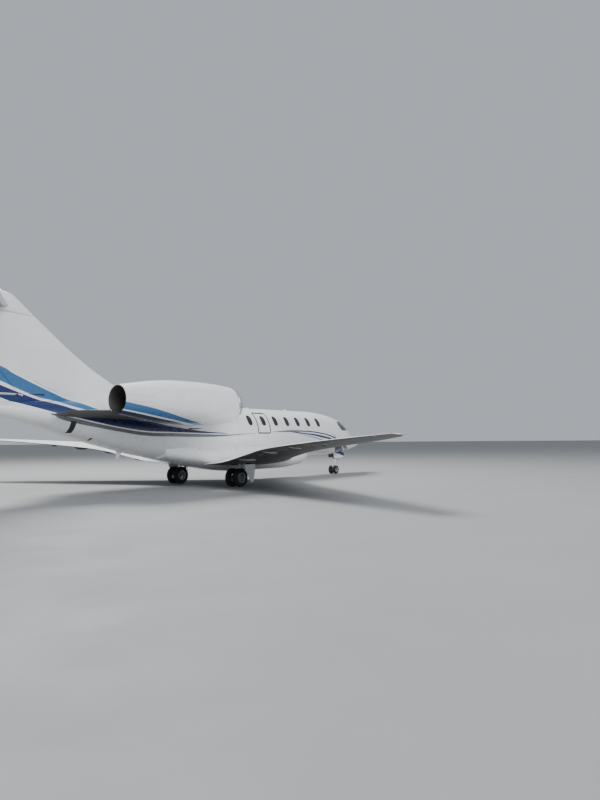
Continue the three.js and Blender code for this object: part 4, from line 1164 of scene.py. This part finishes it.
def make_surfaces():
    flap, aileron = (700, 6150), (6350 - END_GAP, 9100 + END_GAP)
    spans = spread(700, 6150, 34) + spread(6200, 9300, 22) + spread(9350, 9640, 4) + tip_spans(9650, 90)
    both("wing_skin", fixed_surface(wing, spans, WING_HINGE, [flap, aileron]), "wing", replaces="wing")
    flap_hinge = lambda span: WING_HINGE(span) + 4
    part = moving_surface(wing, spread(980, 6142, 30), flap_hinge, step=4, blend=14, nose=0.5)
    both("flap_skin", part, "wing", replaces="flap")
    part = moving_surface(wing, spread(6350, 9100, 20), WING_HINGE)
    both("aileron_skin", part, "wing", body="aileron_SIDE", replaces="aileron")
    spans, elevator = spread(60, 3800, 24) + tip_spans(3850, 125), (380 - END_GAP, 3740 + END_GAP)
    part = fixed_surface(tailplane, spans, TAIL_HINGE, [elevator], nose=46, gap=10)
    both("tailplane_skin", part, "tail", replaces="tailplane")
    part = moving_surface(tailplane, spread(380, 3740, 22), TAIL_HINGE, step=4, blend=18, ease=0.45)
    both("elevator_skin", part, "tail", body="elevator_SIDE", replaces="elevator")
    rudder = (2990 - RUDDER_GAP, 5245)
    part = fixed_surface(fin, spread(2650, 5245, 30), FIN_HINGE, [rudder], nose=110, gap=15)
    piece("fin_skin", *part, "aft", replaces="fin")
    part = moving_surface(fin, spread(2990, 5190, 20), FIN_HINGE, step=6, ease=0.7)
    piece("rudder_skin", *part, "aft", body="rudder", replaces="rudder")


# Fairings over the hinges: distance from centre, half width, reach ahead and behind, depth, flap or none
TRACKS = [
    (2750, 70, 420, 520, 105, True), (4100, 65, 380, 440, 95, True), (5450, 60, 340, 360, 85, True),
    (6800, 42, 300, -30, 60, False),
]
TRACK_FORM = [(0, 0.06), (0.12, 0.55), (0.35, 0.95), (0.65, 1), (0.88, 0.6), (1, 0.08)]
TRACK_SINK, TRACK_CLEAR = 15, 10


def hinge_fairing(across, half, ahead, behind, depth, flap):
    hinge = WING_HINGE(across)
    stations = spread(hinge - ahead, hinge + behind, 30) + ([hinge - 2, hinge + 2] if flap else [])
    bend = lambda value: math.copysign(abs(value) ** 0.87, value)
    turn = [(bend(math.cos(t)), bend(math.sin(t))) for t in np.linspace(0, math.pi, 17)]
    rings = []
    for station in sorted(stations):
        share = (station - hinge + ahead) / (ahead + behind)
        size = float(pchip(*zip(*TRACK_FORM), share)[0])
        level = wing.point(across, wing.share(across, station), -1)[2] * 1000
        under = flap and station > hinge
        level -= TRACK_CLEAR if under else 0
        top = level + (0 if under else TRACK_SINK)
        ring = [(half * size * wide, level - depth * size * deep) for wide, deep in turn]
        ring += [(half * size * wide, top) for wide in (-1, 1)]
        rings.append([metres(station, y - across, z) for y, z in ring])
    return loft(rings)


MAIN_WELL = {"front": 10150, "back": 10950, "inner": 1390, "outer": 1870, "top": 900}


def carve(made, part, material):
    """Cuts a closed (points, faces) out of a piece, and gives the cut's own faces a material."""
    cutter = link("cutter", mesh_of("cutter", *part))
    cutter.data.materials.append(MATERIALS[material])
    cut = made.modifiers.new("cut", "BOOLEAN")
    cut.object, cut.operation, cut.solver, cut.material_mode = cutter, "DIFFERENCE", "EXACT", "TRANSFER"
    graph = bpy.context.evaluated_depsgraph_get()
    done = bpy.data.meshes.new_from_object(made.evaluated_get(graph))
    made.modifiers.remove(cut)
    made.data = done
    bpy.data.objects.remove(cutter)
    smooth(done)


def wicks(foil, places, length, drift):
    """Static wicks behind a trailing edge: they reach back and drift outward by some mm."""
    made = []
    for across in places:
        _, _, back, level, _ = foil.row(across)
        end = metres(back + length, -across - drift, level - 4)
        made.append(bar(metres(back - 30, -across, level), end, 0.0035, 8, 0.002))
    return join(made)


def make_wing_details():
    both("hinge_fairings", join([hinge_fairing(*row) for row in TRACKS]), "wing")
    well = MAIN_WELL
    for word, way in SIDES:
        across = (way * well["inner"], way * well["outer"])
        cutter = block(well["front"], well["back"], *across, well["top"] - 400, well["top"])
        # The cut's walls get the bay's painted shade
        carve(bpy.data.objects[f"wing_skin_{word}"], cutter, "bay")
    lens = []
    for share in np.linspace(-1, 1, 13):
        radius = math.sqrt(max(0.0, 1 - share**2)) + 0.01
        ring = [(28 * radius * math.cos(t) - 9665, 17 * radius * math.sin(t) + 1757) for t in around(16)]
        lens.append([metres(13660 + 90 * share, y, z) for y, z in ring])
    piece("nav_light_right", *loft(lens), "green_lens", slot="cockpit_glass")
    piece("nav_light_left", *flip(loft(lens)), "red_lens", slot="cockpit_glass")
    both("aileron_wicks", wicks(wing, (6900, 7800, 8700), 110, 25), "panel", body="aileron_SIDE")
    both("elevator_wicks", wicks(tailplane, (2200, 3300), 80, 15), "panel", body="elevator_SIDE")


make_surfaces()

CAP = Tube(
    [
        (17640, 5262, 5255, 5245, 12),
        (18000, 5550, 5330, 5245, 75),
        (18350, 5790, 5400, 5245, 120),
        (18800, 5855, 5420, 5245, 145),
        (19600, 5860, 5430, 5245, 150),
        (20500, 5760, 5430, 5290, 110),
        (21100, 5600, 5440, 5370, 55),
        (21350, 5500, 5450, 5420, 14),
    ],
    squareness=0.5,
)
piece("fin_cap_skin", *CAP.skin(spread(17640, 21350, 60), 64), "white", replaces="fin_cap")

# Engines: the nacelle's outside, its duct, the body behind the fan and the fan's hub, as (station, radius)

NACELLE = {"across": 1900, "level": 2860}
OUTSIDE = [
    (11448, 562), (11560, 598), (11750, 632), (12400, 682), (13300, 700),
    (14200, 678), (15000, 608), (15700, 500), (16150, 425),
]
INSIDE = [(16150, 405), (15600, 440), (14750, 505), (12000, 505), (11650, 480), (11460, 506)]
CORE = [
    (12300, 0.1), (12300, 170), (12420, 200), (12420, 503), (12460, 503), (12460, 260),
    (13400, 300), (14300, 330), (14700, 330), (14705, 470), (14760, 470), (14765, 250), (14900, 240),
    (15100, 150), (15250, 60), (15270, 0.1),
]
FAN_HUB = [(11840, 4), (11860, 40), (11920, 88), (12000, 125), (12080, 148), (12180, 156), (12290, 156)]
FAN = {"root": 138, "tip": 484, "middle": 12185, "blades": 18}
LIP_BACK = 11640


def engine_turned(profile, sides=72):
    """A closed profile of (station, radius) turned about the right engine's axis."""
    centre = metres(0, -NACELLE["across"], NACELLE["level"])
    return turned([(-station, radius) for station, radius in profile], centre, "x", sides)


def smooth_profile(table, count):
    """A smooth line through a table of (station, radius), in the table's own direction."""
    way = 1 if table[0][0] < table[-1][0] else -1
    rows = sorted(table)
    steps = np.linspace(rows[0][0], rows[-1][0], count)
    return list(zip(steps, pchip(*zip(*rows), steps)[:, 0]))[::way]


def fan_blade(index):
    """A twisted blade, as rings from its root to its tip."""
    angle = 2 * math.pi * index / FAN["blades"]
    rings = []
    for share in np.linspace(0, 1, 9):
        radius = FAN["root"] + share * (FAN["tip"] - FAN["root"])
        twist = math.radians(14 + 46 * share**0.9)
        chord = 172 + 34 * share - 20 * share**4
        thick = 9 * (1 - share) + 3
        middle = FAN["middle"] - 18 * share**2
        ring = []
        for t in around(16):
            along = math.cos(t) * chord / 2
            out = math.sin(t) * thick + 9 * (1 - math.cos(t) ** 2) * share
            station = middle + along * math.cos(twist) - out * math.sin(twist)
            across = along * math.sin(twist) + out * math.cos(twist)
            y = radius * math.sin(angle) + across * math.cos(angle)
            z = radius * math.cos(angle) - across * math.sin(angle)
            scale = radius / math.hypot(y, z)
            ring.append(metres(station, y * scale - NACELLE["across"], z * scale + NACELLE["level"]))
        rings.append(ring)
    return loft(rings)


def make_engines():
    nose = [(11444 - 24 * math.cos(t), 530 + 31.2 * math.sin(t)) for t in np.linspace(-1.4, 1.4, 15)]
    outer, inner = smooth_profile(OUTSIDE, 60), smooth_profile(INSIDE, 50)
    lip_out, lip_in = ([p for p in row if p[0] <= LIP_BACK] for row in (outer, inner))
    cowl, duct = ([p for p in row if p[0] > LIP_BACK] for row in (outer, inner))
    back = [(LIP_BACK - 1, lip_out[-1][1] - 12), (LIP_BACK - 1, lip_in[0][1] + 12)]
    both("intake_lip", engine_turned([*lip_in, *nose, *lip_out, *back]), "bare")
    both("nacelle_skin", engine_turned([*cowl, *duct]), "nacelle", replaces="nacelle")
    for word, way in SIDES:
        middle = (way * NACELLE["across"] / 1000, NACELLE["level"] / 1000)
        line_inside(bpy.data.objects[f"nacelle_skin_{word}"], "duct", lambda x: middle, -0.15)
    both("engine_core", engine_turned(CORE, 60), "hot", slot="core_metal", replaces="engine")
    parts = [engine_turned([(11838, 0.1), *smooth_profile(FAN_HUB, 40), (12290, 0.1)], 48)]
    parts += [fan_blade(index) for index in range(FAN["blades"])]
    both("fan_rotor", join(parts), "fan", body="fan_rotor_SIDE", slot="fan_metal", replaces="fan")
    both("cowl_latch", block(11556, 11590, -2500, -2488, 2912, 2934, 3), "panel")
    pylon, shares = Foil(PYLON), [(k / 26) ** 1.6 for k in range(27)]
    part = loft([pylon.ring(span, shares) for span in spread(600, 1500, 16)])
    both("pylon_skin", part, "dark", slot="pylon_paint", replaces="pylon")


make_engines()

# Landing gear

WHEELS = {
    "main": {
        "station": 10780, "across": -1550, "half": 190, "radius": 330, "width": 168, "rim": 178,
        "shaft": 28, "holes": 9,
    },
    "nose": {
        "station": 2170, "across": 0, "half": 130, "radius": 203, "width": 112, "rim": 102,
        "shaft": 18, "holes": 6,
    },
}
# Side of a tyre: share of the half width, share of the way from the rim to the tread
SIDEWALL = [
    (0.70, 0.0), (0.84, 0.02), (0.95, 0.13), (1.0, 0.34), (0.985, 0.56), (0.91, 0.78), (0.77, 0.92),
    (0.62, 0.975),
]
GROOVES = (0.45, 0.15, -0.15, -0.45)
# Rim, boss and flange of a hub: shares of the half width and of the rim's radius
HUB_RIM = [
    (0.80, 1.0), (0.80, 0.965), (0.74, 0.93), (0.60, 0.90), (0.32, 0.885), (0.24, 0.84), (0.22, 0.74),
    (0.10, 0.74), (0.10, 0.86), (-0.60, 0.90), (-0.76, 0.95), (-0.80, 1.0), (-0.55, 0.985), (0.55, 0.985),
]
HUB_BOSS = [
    (0.75, 0.0), (0.75, 0.16), (0.70, 0.20), (0.60, 0.22), (0.58, 0.30), (0.26, 0.34), (0.22, 0.44),
    (0.10, 0.44), (-0.25, 0.3), (-0.25, 0.0),
]
FLANGE = [(0.66, 0.90), (0.80, 0.925), (0.87, 0.955), (0.87, 0.985), (0.80, 0.994), (0.66, 0.994)]


def circle(radius, count, x=0.0, z=0.0):
    return [(x + radius * math.cos(t), z + radius * math.sin(t)) for t in around(count)]


def tyre(wheel, across):
    """A tyre with a round shoulder and four grooves round its tread."""
    half, rim, radius = wheel["width"] / 2, wheel["rim"] + 0.3, wheel["radius"]
    rise = radius - rim
    steps = np.linspace(0, len(SIDEWALL) - 1, 24)
    side = pchip(range(len(SIDEWALL)), SIDEWALL, steps) * (half, rise) + (0, rim)
    crown = lambda share: radius - 0.025 * rise * (share / 0.62) ** 2
    tread = []
    for middle in GROOVES:
        for shift, deep in ((0.045, 0), (0.03, 6), (-0.03, 6), (-0.045, 0)):
            tread.append(((middle + shift) * half, crown(middle + shift) - deep))
    profile = [*side, *tread, *[(-w, r) for w, r in side[::-1]]]
    return turned(profile, metres(wheel["station"], across, radius), "y", 96)


def hub(wheel, across, outward):
    """A wheel hub with its dished side outward: a rim, a web with round holes, a boss and bolts."""
    half, rim, count = wheel["width"] / 2, wheel["rim"], wheel["holes"]
    place = metres(wheel["station"], across, wheel["radius"])
    parts = []
    for table in (HUB_RIM, HUB_BOSS):
        profile = [(outward * w * half, max(r * rim, 0.1)) for w, r in table]
        parts.append(turned(profile, place, "y", 72))
    x0, y0, z0 = place
    to_point = lambda u, v, w: (x0 + u / 1000, y0 + outward * w * half / 1000, z0 + v / 1000)
    holes = [circle(0.088 * rim, 16, x, z) for x, z in circle(0.59 * rim, count)]
    parts.append(pierced([circle(0.76 * rim, 48), circle(0.42 * rim, 40), *holes], 0.12, 0.20, to_point))
    for bolts, radius, size, head in ((2 * count, 0.815, 0.035, 0.36), (count, 0.39, 0.03, 0.34)):
        for turn in around(bolts):
            angle = turn + math.pi / bolts
            outline = circle(size * rim, 6, radius * rim * math.cos(angle), radius * rim * math.sin(angle))
            parts.append(loft([[to_point(u, v, w) for u, v in outline] for w in (0.2, head)]))
    return join(parts)


def wheel_set(kind, side=""):
    """Two tyres and two hubs on one shaft, as the pieces of one side."""
    wheel = WHEELS[kind]
    station, middle, half, radius, width, rim, thick, _ = wheel.values()
    mirror = flip if side == "_left" else (lambda part: part)
    body = f"{kind}_wheels{side}"
    ends = [(middle + way * half, way) for way in (-1, 1)]
    hubs = join([cross_bar(station, middle, half, radius, thick, 20), *[hub(wheel, *end) for end in ends]])
    node = f"{kind}_hubs{side}"
    piece(f"{node}_detail", *mirror(hubs), "hub", body=body, slot="hub_steel", replaces=node)
    rings = []
    for across, way in ends:
        profile = [(way * w * width / 2, r * rim) for w, r in FLANGE]
        rings.append(turned(profile, metres(station, across, radius), "y", 72))
    piece(f"{kind}_rim_flanges{side}", *mirror(join(rings)), "flange", body=body, slot="hub_steel")
    words = ("outer", "inner") if kind == "main" else ("right", "left")
    for word, (across, _) in zip(words, ends):
        node = f"{kind}_tyre_{word}{side}"
        rubber = mirror(tyre(wheel, across))
        piece(f"{node}_rubber", *rubber, "tyre", body=body, slot="tyre_rubber", replaces=node, angle=40)


def upright(station, across, table):
    """A turned leg: a table of level and radius about an upright axis."""
    return turned([(z, max(r, 0.1)) for z, r in table], metres(station, across, 0), "z", 40)


def make_main_gear():
    wheel = WHEELS["main"]
    y, axle = wheel["across"], (wheel["station"], wheel["radius"])
    centre = metres(axle[0], y, axle[1])
    strut = [
        (400, 0), (400, 46), (412, 58), (470, 60), (484, 52), (600, 50), (612, 60), (660, 60), (672, 52),
        (800, 52), (812, 61), (862, 61), (862, 0),
    ]
    arm = [
        (10310, 330), (10310, 460), (10460, 480), (10800, 395), (10865, 330), (10830, 265), (10700, 265),
        (10450, 330),
    ]
    boss = [(-42, 30), (-42, 60), (-36, 66), (36, 66), (42, 60), (42, 30)]
    lug = [(10600, 395), (10620, 450), (10700, 450), (10720, 395), (10690, 350), (10630, 350)]
    low, high = metres(10660, y, 410), metres(10600, y, 842)
    between = [a + (b - a) * 0.42 for a, b in zip(low, high)]
    parts = [
        upright(10380, y, strut),
        side_plate(arm, y - 38, y + 38, 9, 40),
        turned(boss, centre, "y", 40),
        block(10215, 10755, y - 86, y + 86, 822, 899, 14),
        block(10400, 10520, -1999, y, 702, 748, 8),
        side_plate(lug, y - 46, y + 46, 4, 18),
        cross_bar(10380, y, 52, 445, 22, 20),
        cross_bar(10660, y, 54, 410, 18, 20),
    ]
    both("main_leg_frame", join(parts), "enamel", slot="gear_steel", replaces="main_leg")
    both("main_shock_body", bar(between, high, 0.0385, 32), "strut", slot="gear_steel")
    both("main_shock_piston", bar(low, between, 0.024, 32), "piston", slot="gear_steel")
    discs = [
        (46, 70), (46, 128), (58, 128), (58, 118), (64, 118), (64, 134), (72, 134), (72, 118), (78, 118),
        (78, 134), (86, 134), (86, 110), (98, 104), (98, 70),
    ]
    # Station, distance from the leg's middle and level
    run = [
        (10330, 30, 830), (10306, 44, 640), (10300, 46, 480), (10480, 50, 505), (10660, 52, 470),
        (10720, 48, 400),
    ]
    brakes, hoses = [], []
    for way in (-1, 1):
        brakes.append(turned([(way * w, r) for w, r in discs], centre, "y", 48))
        for s, z in circle(96, 7, *axle):
            brakes.append(bar(metres(s, y + way * 44, z), metres(s, y + way * 60, z), 0.016, 12))
        hoses.append(hose([(s, y + way * out, z) for s, out, z in run], 8))
    both("main_brakes", join(brakes), "hot", slot="gear_steel")
    both("main_brake_hoses", join(hoses), "seal", slot="gear_steel")
    door = [(10290, 800), (10880, 800), (10720, 470), (10530, 180), (10470, 150), (10400, 165), (10340, 350)]
    both("main_gear_door_skin", side_plate(door, -2024, -2000, 5, 40), "white", replaces="main_gear_door")
    rib = [(10370, 760), (10790, 760), (10660, 500), (10490, 250), (10440, 250), (10400, 380)]
    ribs = [side_plate(rib, -1999.7, -1990, 3, 30), block(10400, 10520, -1996, -1960, 690, 760, 6)]
    both("main_gear_door_frame", join(ribs), "enamel")
    for word, _ in SIDES:
        wheel_set("main", f"_{word}")


def make_nose_gear():
    strut = [
        (560, 0), (560, 50), (572, 55), (620, 55), (632, 47), (690, 46), (702, 55), (752, 55), (764, 46),
        (1120, 46), (1134, 55), (1222, 55), (1222, 0),
    ]
    leg = [
        upright(2100, 0, strut),
        cross_bar(2100, 0, 189, 1185, 36, 28),
        cross_bar(2640, 0, 189, 1130, 24, 20),
        block(2080, 2180, -40, 40, 690, 745, 8),
        cross_bar(2150, 0, 62, 600, 30, 24),
        block(2040, 2070, -130, 130, 635, 665, 5),
    ]
    brace = bar(metres(2128, 0, 716), metres(2640, 0, 1130), 0.023, 24)
    piece("nose_drag_brace", *brace, "dark", slot="gear_steel")
    piece("nose_leg_frame", *join(leg), "strut", slot="gear_steel", replaces="nose_leg")
    bowl = [(-33, 0.1), (-33, 34), (-25, 46), (-10, 50), (32, 50), (32, 45), (20, 43), (18, 0.1)]
    glass = [(18.5, 0.1), (18.5, 42.8), (24, 42.8), (29, 25), (30, 0.1)]
    places = [metres(2017, way * 130, 650) for way in (-1, 1)]
    lamps, lenses = ([turned(row, place, "x", 36) for place in places] for row in (bowl, glass))
    piece("taxi_lamp_shells", *join(lamps), "bare", slot="gear_steel")
    piece("taxi_lamp_lenses", *join(lenses), "lamp", slot="cockpit_glass")
    steered = {"body": "nose_steering", "slot": "gear_steel"}
    piece("nose_piston", *upright(2100, 0, [(228, 0), (228, 34), (556, 34), (556, 0)]), "piston", **steered)
    foot = [(2062, 150), (2062, 262), (2140, 262), (2215, 250), (2225, 203), (2215, 156), (2140, 150)]
    lower = [(2090, 262), (2090, 305), (2150, 330), (2270, 392), (2290, 378), (2280, 352), (2190, 262)]
    upper = [(2110, 468), (2110, 425), (2180, 405), (2262, 352), (2290, 352), (2290, 380), (2200, 468)]
    fork = [
        side_plate(foot, -41, 41, 8, 24),
        side_plate(lower, -26, 26, 5, 12),
        side_plate(upper, -21, 21, 5, 12),
        upright(2100, 0, [(470, 0), (470, 44), (478, 51), (548, 51), (556, 46), (556, 0)]),
        cross_bar(2276, 0, 32, 366, 12, 16),
        cross_bar(2135, 0, 44, 300, 14, 16),
        cross_bar(2140, 0, 44, 446, 14, 16),
    ]
    piece("nose_fork_frame", *join(fork), "enamel", replaces="nose_fork", **steered)
    outline = [(1500, 1125), (2420, 1080), (2380, 760), (1620, 780), (1520, 900)]
    panel = [(1570, 1085), (2370, 1045), (2340, 800), (1650, 815), (1580, 920)]
    ribs = []
    for word, way in SIDES:
        node = f"nose_gear_door_{word}"
        piece(f"{node}_skin", *side_plate(outline, way * 171.7, way * 189.7, 4, 50), "nose", replaces=node)
        ribs.append(side_plate(panel, way * 171.4, way * 163, 3, 40))
        ribs += [block(s - 22, s + 22, way * 163, way * 150, 860, 1110, 4) for s in (1640, 1990, 2310)]
    piece("nose_gear_door_ribs", *join(ribs), "dark", slot="well_primer")
    wheel_set("nose")


make_main_gear()
make_nose_gear()

# Wheel wells, door and cabin


def make_wells():
    front, back, half, top = NOSE_WELL.values()
    bottom = []
    for station in np.linspace(front, back, 16):
        _, middle, low, wide = FUSELAGE.row(station)
        bottom.append((station, middle - (middle - low) * math.sqrt(1 - (half / wide) ** 2) + 2))
    wall = [*bottom, (back, top), (front, top)]
    parts = [side_plate(wall, half - 1, half + 4), side_plate(wall, -half - 4, -half + 1)]
    parts.append(block(front - 4, back + 4, -half - 4, half + 4, top, top + 5))
    for station, level in (bottom[0], bottom[-1]):
        parts.append(block(station - 2, station + 3, -half, half, level - 25, top))
    for station in np.linspace(front + 120, back - 120, 9):
        level = float(np.interp(station, *zip(*bottom))) + 8
        for way in (-1, 1):
            parts.append(block(station - 6, station + 6, way * half, way * (half - 16), level, top, 2))
        parts.append(block(station - 6, station + 6, -half, half, top - 18, top, 2))
    run = [
        (front + 80, 150, top - 40), (1800, 165, top - 55), (2400, 160, top - 42), (back - 60, 150, top - 60),
    ]
    parts += [hose([(s, way * y, z) for s, y, z in run], 9) for way in (-1, 1)]
    piece("nose_well_lining", *join(parts), "primer", slot="well_primer", replaces="nose_wheel_well")


def make_door():
    on_door = {"body": "entry_door"}
    skin = shell(FUSELAGE, FUSELAGE.outline(opening(DOOR, 6, 58), 1), inner=70, step=50)
    made = piece("cabin_door_skin", *skin, "front", slot="fuselage_paint", replaces="cabin_door", **on_door)
    line_inside(made, "trim", body_middle)
    top, middle, _, half = FUSELAGE.row(3700)
    steps = []
    for level in (1330, 1590, 1850, 2110):
        outer = (half - 75) * math.sqrt(1 - ((level - middle) / (top - middle)) ** 2) + 24
        steps.append(block(3440, 4040, outer - 224, outer, level, level + 30, 7))
        for across in (outer - 210 + 40 * k for k in range(5)):
            steps.append(block(3455, 4025, across, across + 14, level + 29, level + 34, 1))
        foot = [(outer - 200, level), (outer, level), (outer - 6, level - 90)]
        for station in (3448, 4018):
            steps.append(slab(foot, 14, lambda u, v, w: metres(station + w, u, v)))
    piece("door_steps", *join(steps), "steel", slot="panel_plastic", **on_door)
    fixed, moving = [], []
    pin = lambda front: bar(metres(front, 594, 1128), metres(front + 60, 594, 1128), 0.0138, 24)
    for station, beside in ((3450, 3510.3), (3970, 3909.7)):
        fixed += [pin(station), block(station, station + 60, 545, 594, 1116, 1136, 3)]
        moving += [pin(beside), block(beside, beside + 60, 590, 608, 1128, 1186, 3)]
    piece("door_hinge_fixed", *join(fixed), "steel", slot="gear_steel")
    piece("door_hinge_moving", *join(moving), "steel", slot="gear_steel", **on_door)


def cushion(size, to_point, count=14, crown=0.0, pull=0.0, channels=()):
    """A crowned closed pad. size is its three lengths, and to_point places a point of it, in mm."""
    round_off = 0.42
    points, faces = [], []
    steps = np.sin(np.linspace(-1, 1, count + 1) * math.pi / 4) * math.sqrt(2)
    for axis, way in ((axis, way) for axis in range(3) for way in (-1, 1)):
        base = len(points)
        for u, v in ((u, v) for u in steps for v in steps):
            p = np.roll([way, u, v], axis)
            a, b, c = p / np.sum(np.abs(p) ** (2 / round_off)) ** (round_off / 2)
            if c > 0:
                c += crown * (1 - a * a) * (1 - b * b) / size[2] * 2
            for place in channels:
                c -= 0.10 * math.exp(-(((a - place) / 0.05) ** 2)) * max(c, 0)
            x, y = a * (1 - pull * (1 - b * b)), b * (1 - pull * (1 - a * a))
            points.append(to_point(x * size[0] / 2, y * size[1] / 2, c * size[2] / 2))
        for k in (base + i * (count + 1) + j for i in range(count) for j in range(count)):
            faces.append((k, k + 1, k + count + 2, k + count + 1))
    return points, faces


def seat(station, facing, y, width, floor):
    """Pads and frame of one seat, which reaches 660 mm aft of the station. It faces aft if facing is -1."""
    start = station if facing > 0 else station + 660
    place = lambda back, across, up: metres(start + facing * back, y + across, floor + up)
    flat = lambda outline: [(start + facing * back, floor + up) for back, up in outline]
    lean = math.radians(79)
    along = (math.cos(lean), math.sin(lean))

    def on_back(foot, height):
        """A point map for a pad on the leaning back: length up the back, width, thickness forward."""
        def to_point(u, v, w):
            back = foot[0] + along[0] * (height / 2 + u) - along[1] * w
            up = foot[1] + along[1] * (height / 2 + u) + along[0] * w
            return place(back, v, up)
        return to_point

    base = lambda u, v, w: place(250 + u, v, 342 + w)
    rest, head = on_back((500, 395), 480), on_back((585, 855), 140)
    pads = [
        cushion((470, width - 130, 150), base, crown=16, pull=0.03, channels=(-0.33, 0.3)),
        cushion((470, width - 110, 110), rest, crown=14, pull=0.03, channels=(-0.3, 0.25)),
        cushion((140, width - 190, 90), head, crown=8, pull=0.05, count=10),
    ]
    parts = []
    for front, back, cut, low, high, edge in ((120, 420, 60, 1, 210, 12), (20, 520, 40, 205, 262, 14)):
        ends = (start + facing * front, start + facing * back)
        parts.append(block(*ends, y - width / 2 + cut, y + width / 2 - cut, floor + low, floor + high, edge))
    spine = flat([(470, 250), (470, 420), (560, 985), (650, 985), (600, 300), (560, 250)])
    parts.append(slab(spine, width - 60, lambda s, z, w: metres(s, y - width / 2 + 30 + w, z), 10))
    arm = rounded(flat([(60, 255), (60, 530), (100, 545), (480, 545), (520, 500), (520, 255)]), 30)
    for way in (-1, 1):
        pad = lambda u, v, w: place(270 + u, way * (width / 2 - 30) + v, 560 + w)
        pads.append(cushion((380, 56, 60), pad, count=8))
        inner = y + way * (width / 2 - 24) - 15
        parts.append(slab(arm, 30, lambda s, z, w: metres(s, inner + w, z), 5))
    return pads, parts


def seat_group(names, node, places, width, floor, more=()):
    """Seats at some (station, facing, distance from the middle), as a piece of cushions and one of frames."""
    pads, frames = [], []
    for place in places:
        soft, hard = seat(*place, width, floor)
        pads += soft
        frames += hard
    cushions = piece(names[0], *join(pads), "leather", slot="seat_leather", replaces=node, angle=60)
    piece(names[1], *join([*frames, *more]), "panel", slot="panel_plastic")


def dress(node, material):
    """A CAD node that stays as it is gets a finished material."""
    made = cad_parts[node]
    made.data.materials.clear()
    made.data.materials.append(MATERIALS[material])


def make_cabin():
    cabin = ((4650, -1), (6330, 1), (6850, -1), (8530, 1))
    plinth = [(230, 1131), (230, 1330), (640, 1330), (640, 1290), (270, 1290), (270, 1131)]
    for word, way in SIDES:
        names = (f"seat_cushions_{word}", f"seat_frames_{word}")
        seat_group(names, f"seats_{word}", [(*row, way * 420) for row in cabin], 460, 1330)
        floor = slab(plinth, 9875 - 4255, lambda u, v, w: metres(4255 + w, way * u, v))
        piece(f"raised_floor_{word}", *floor, "carpet", slot="floor_panel")
    names = ("pilot_seat_cushions", "pilot_seat_frames")
    rails = block(2770, 3020, -290, 290, 1331, 1360, 4)
    seat_group(names, "cockpit_seats", [(2620, 1, way * 290) for way in (-1, 1)], 400, 1330.3, [rails])
    top = [(1815, 2000), (2165, 2032), (2180, 2022), (2180, 2008), (2050, 1982), (2050, 1702), (1815, 1702)]
    console = [(2000, 1331), (2000, 1900), (2060, 1800), (2540, 1625), (2560, 1600), (2560, 1331)]
    panel = join([side_plate(top, -430, 430, 6), side_plate(console, -80, 80, 6)])
    piece("instrument_panel_body", *panel, "panel", slot="panel_plastic", replaces="instrument_panel")
    screens = [block(2050, 2056, y - 75, y + 75, 1790, 1950, 2) for y in (-330, -150, 150, 330)]
    piece("instrument_screens", *join(screens), "pane", slot="cockpit_glass")
    for node in ("cabin_floor", "cockpit_floor"):
        dress(node, "carpet")
    dress("belly_antenna", "white")


make_wells()
make_door()
make_cabin()
make_body_details()
make_wing_details()

# Floor and light


def area(name, place, size, power, color):
    """A round lamp that points at the middle of the aircraft."""
    data = bpy.data.lights.new(name, "AREA")
    data.shape, data.size, data.energy, data.color = "DISK", size, power, color
    lamp = link(name, data)
    lamp.location = place
    lamp.rotation_euler = (Vector((0, 0, 2)) - Vector(place)).to_track_quat("-Z", "Y").to_euler()


def make_stage():
    rings = [[(*p, 0) for p in circle(radius, 64)] for radius in (0.5, 20, 60, 150, 400)]
    floor = link("floor", mesh_of("floor", *loft(rings, (True, False))))
    floor.data.materials.append(plain("floor_grey", (0.30, 0.305, 0.31), 0.75, vary=0.03, scale=0.4))
    world = bpy.data.worlds.new("sky")
    bpy.context.scene.world = world
    world.use_nodes = True
    back = world.node_tree.nodes["Background"]
    back.inputs["Color"].default_value = (0.82, 0.88, 0.96, 1)
    back.inputs["Strength"].default_value = 0.55
    area("key", (2, 16, 30), 16, 18000, (1, 0.98, 0.95))
    area("fill", (-16, -48, 30), 44, 27000, (0.96, 0.98, 1))


make_stage()
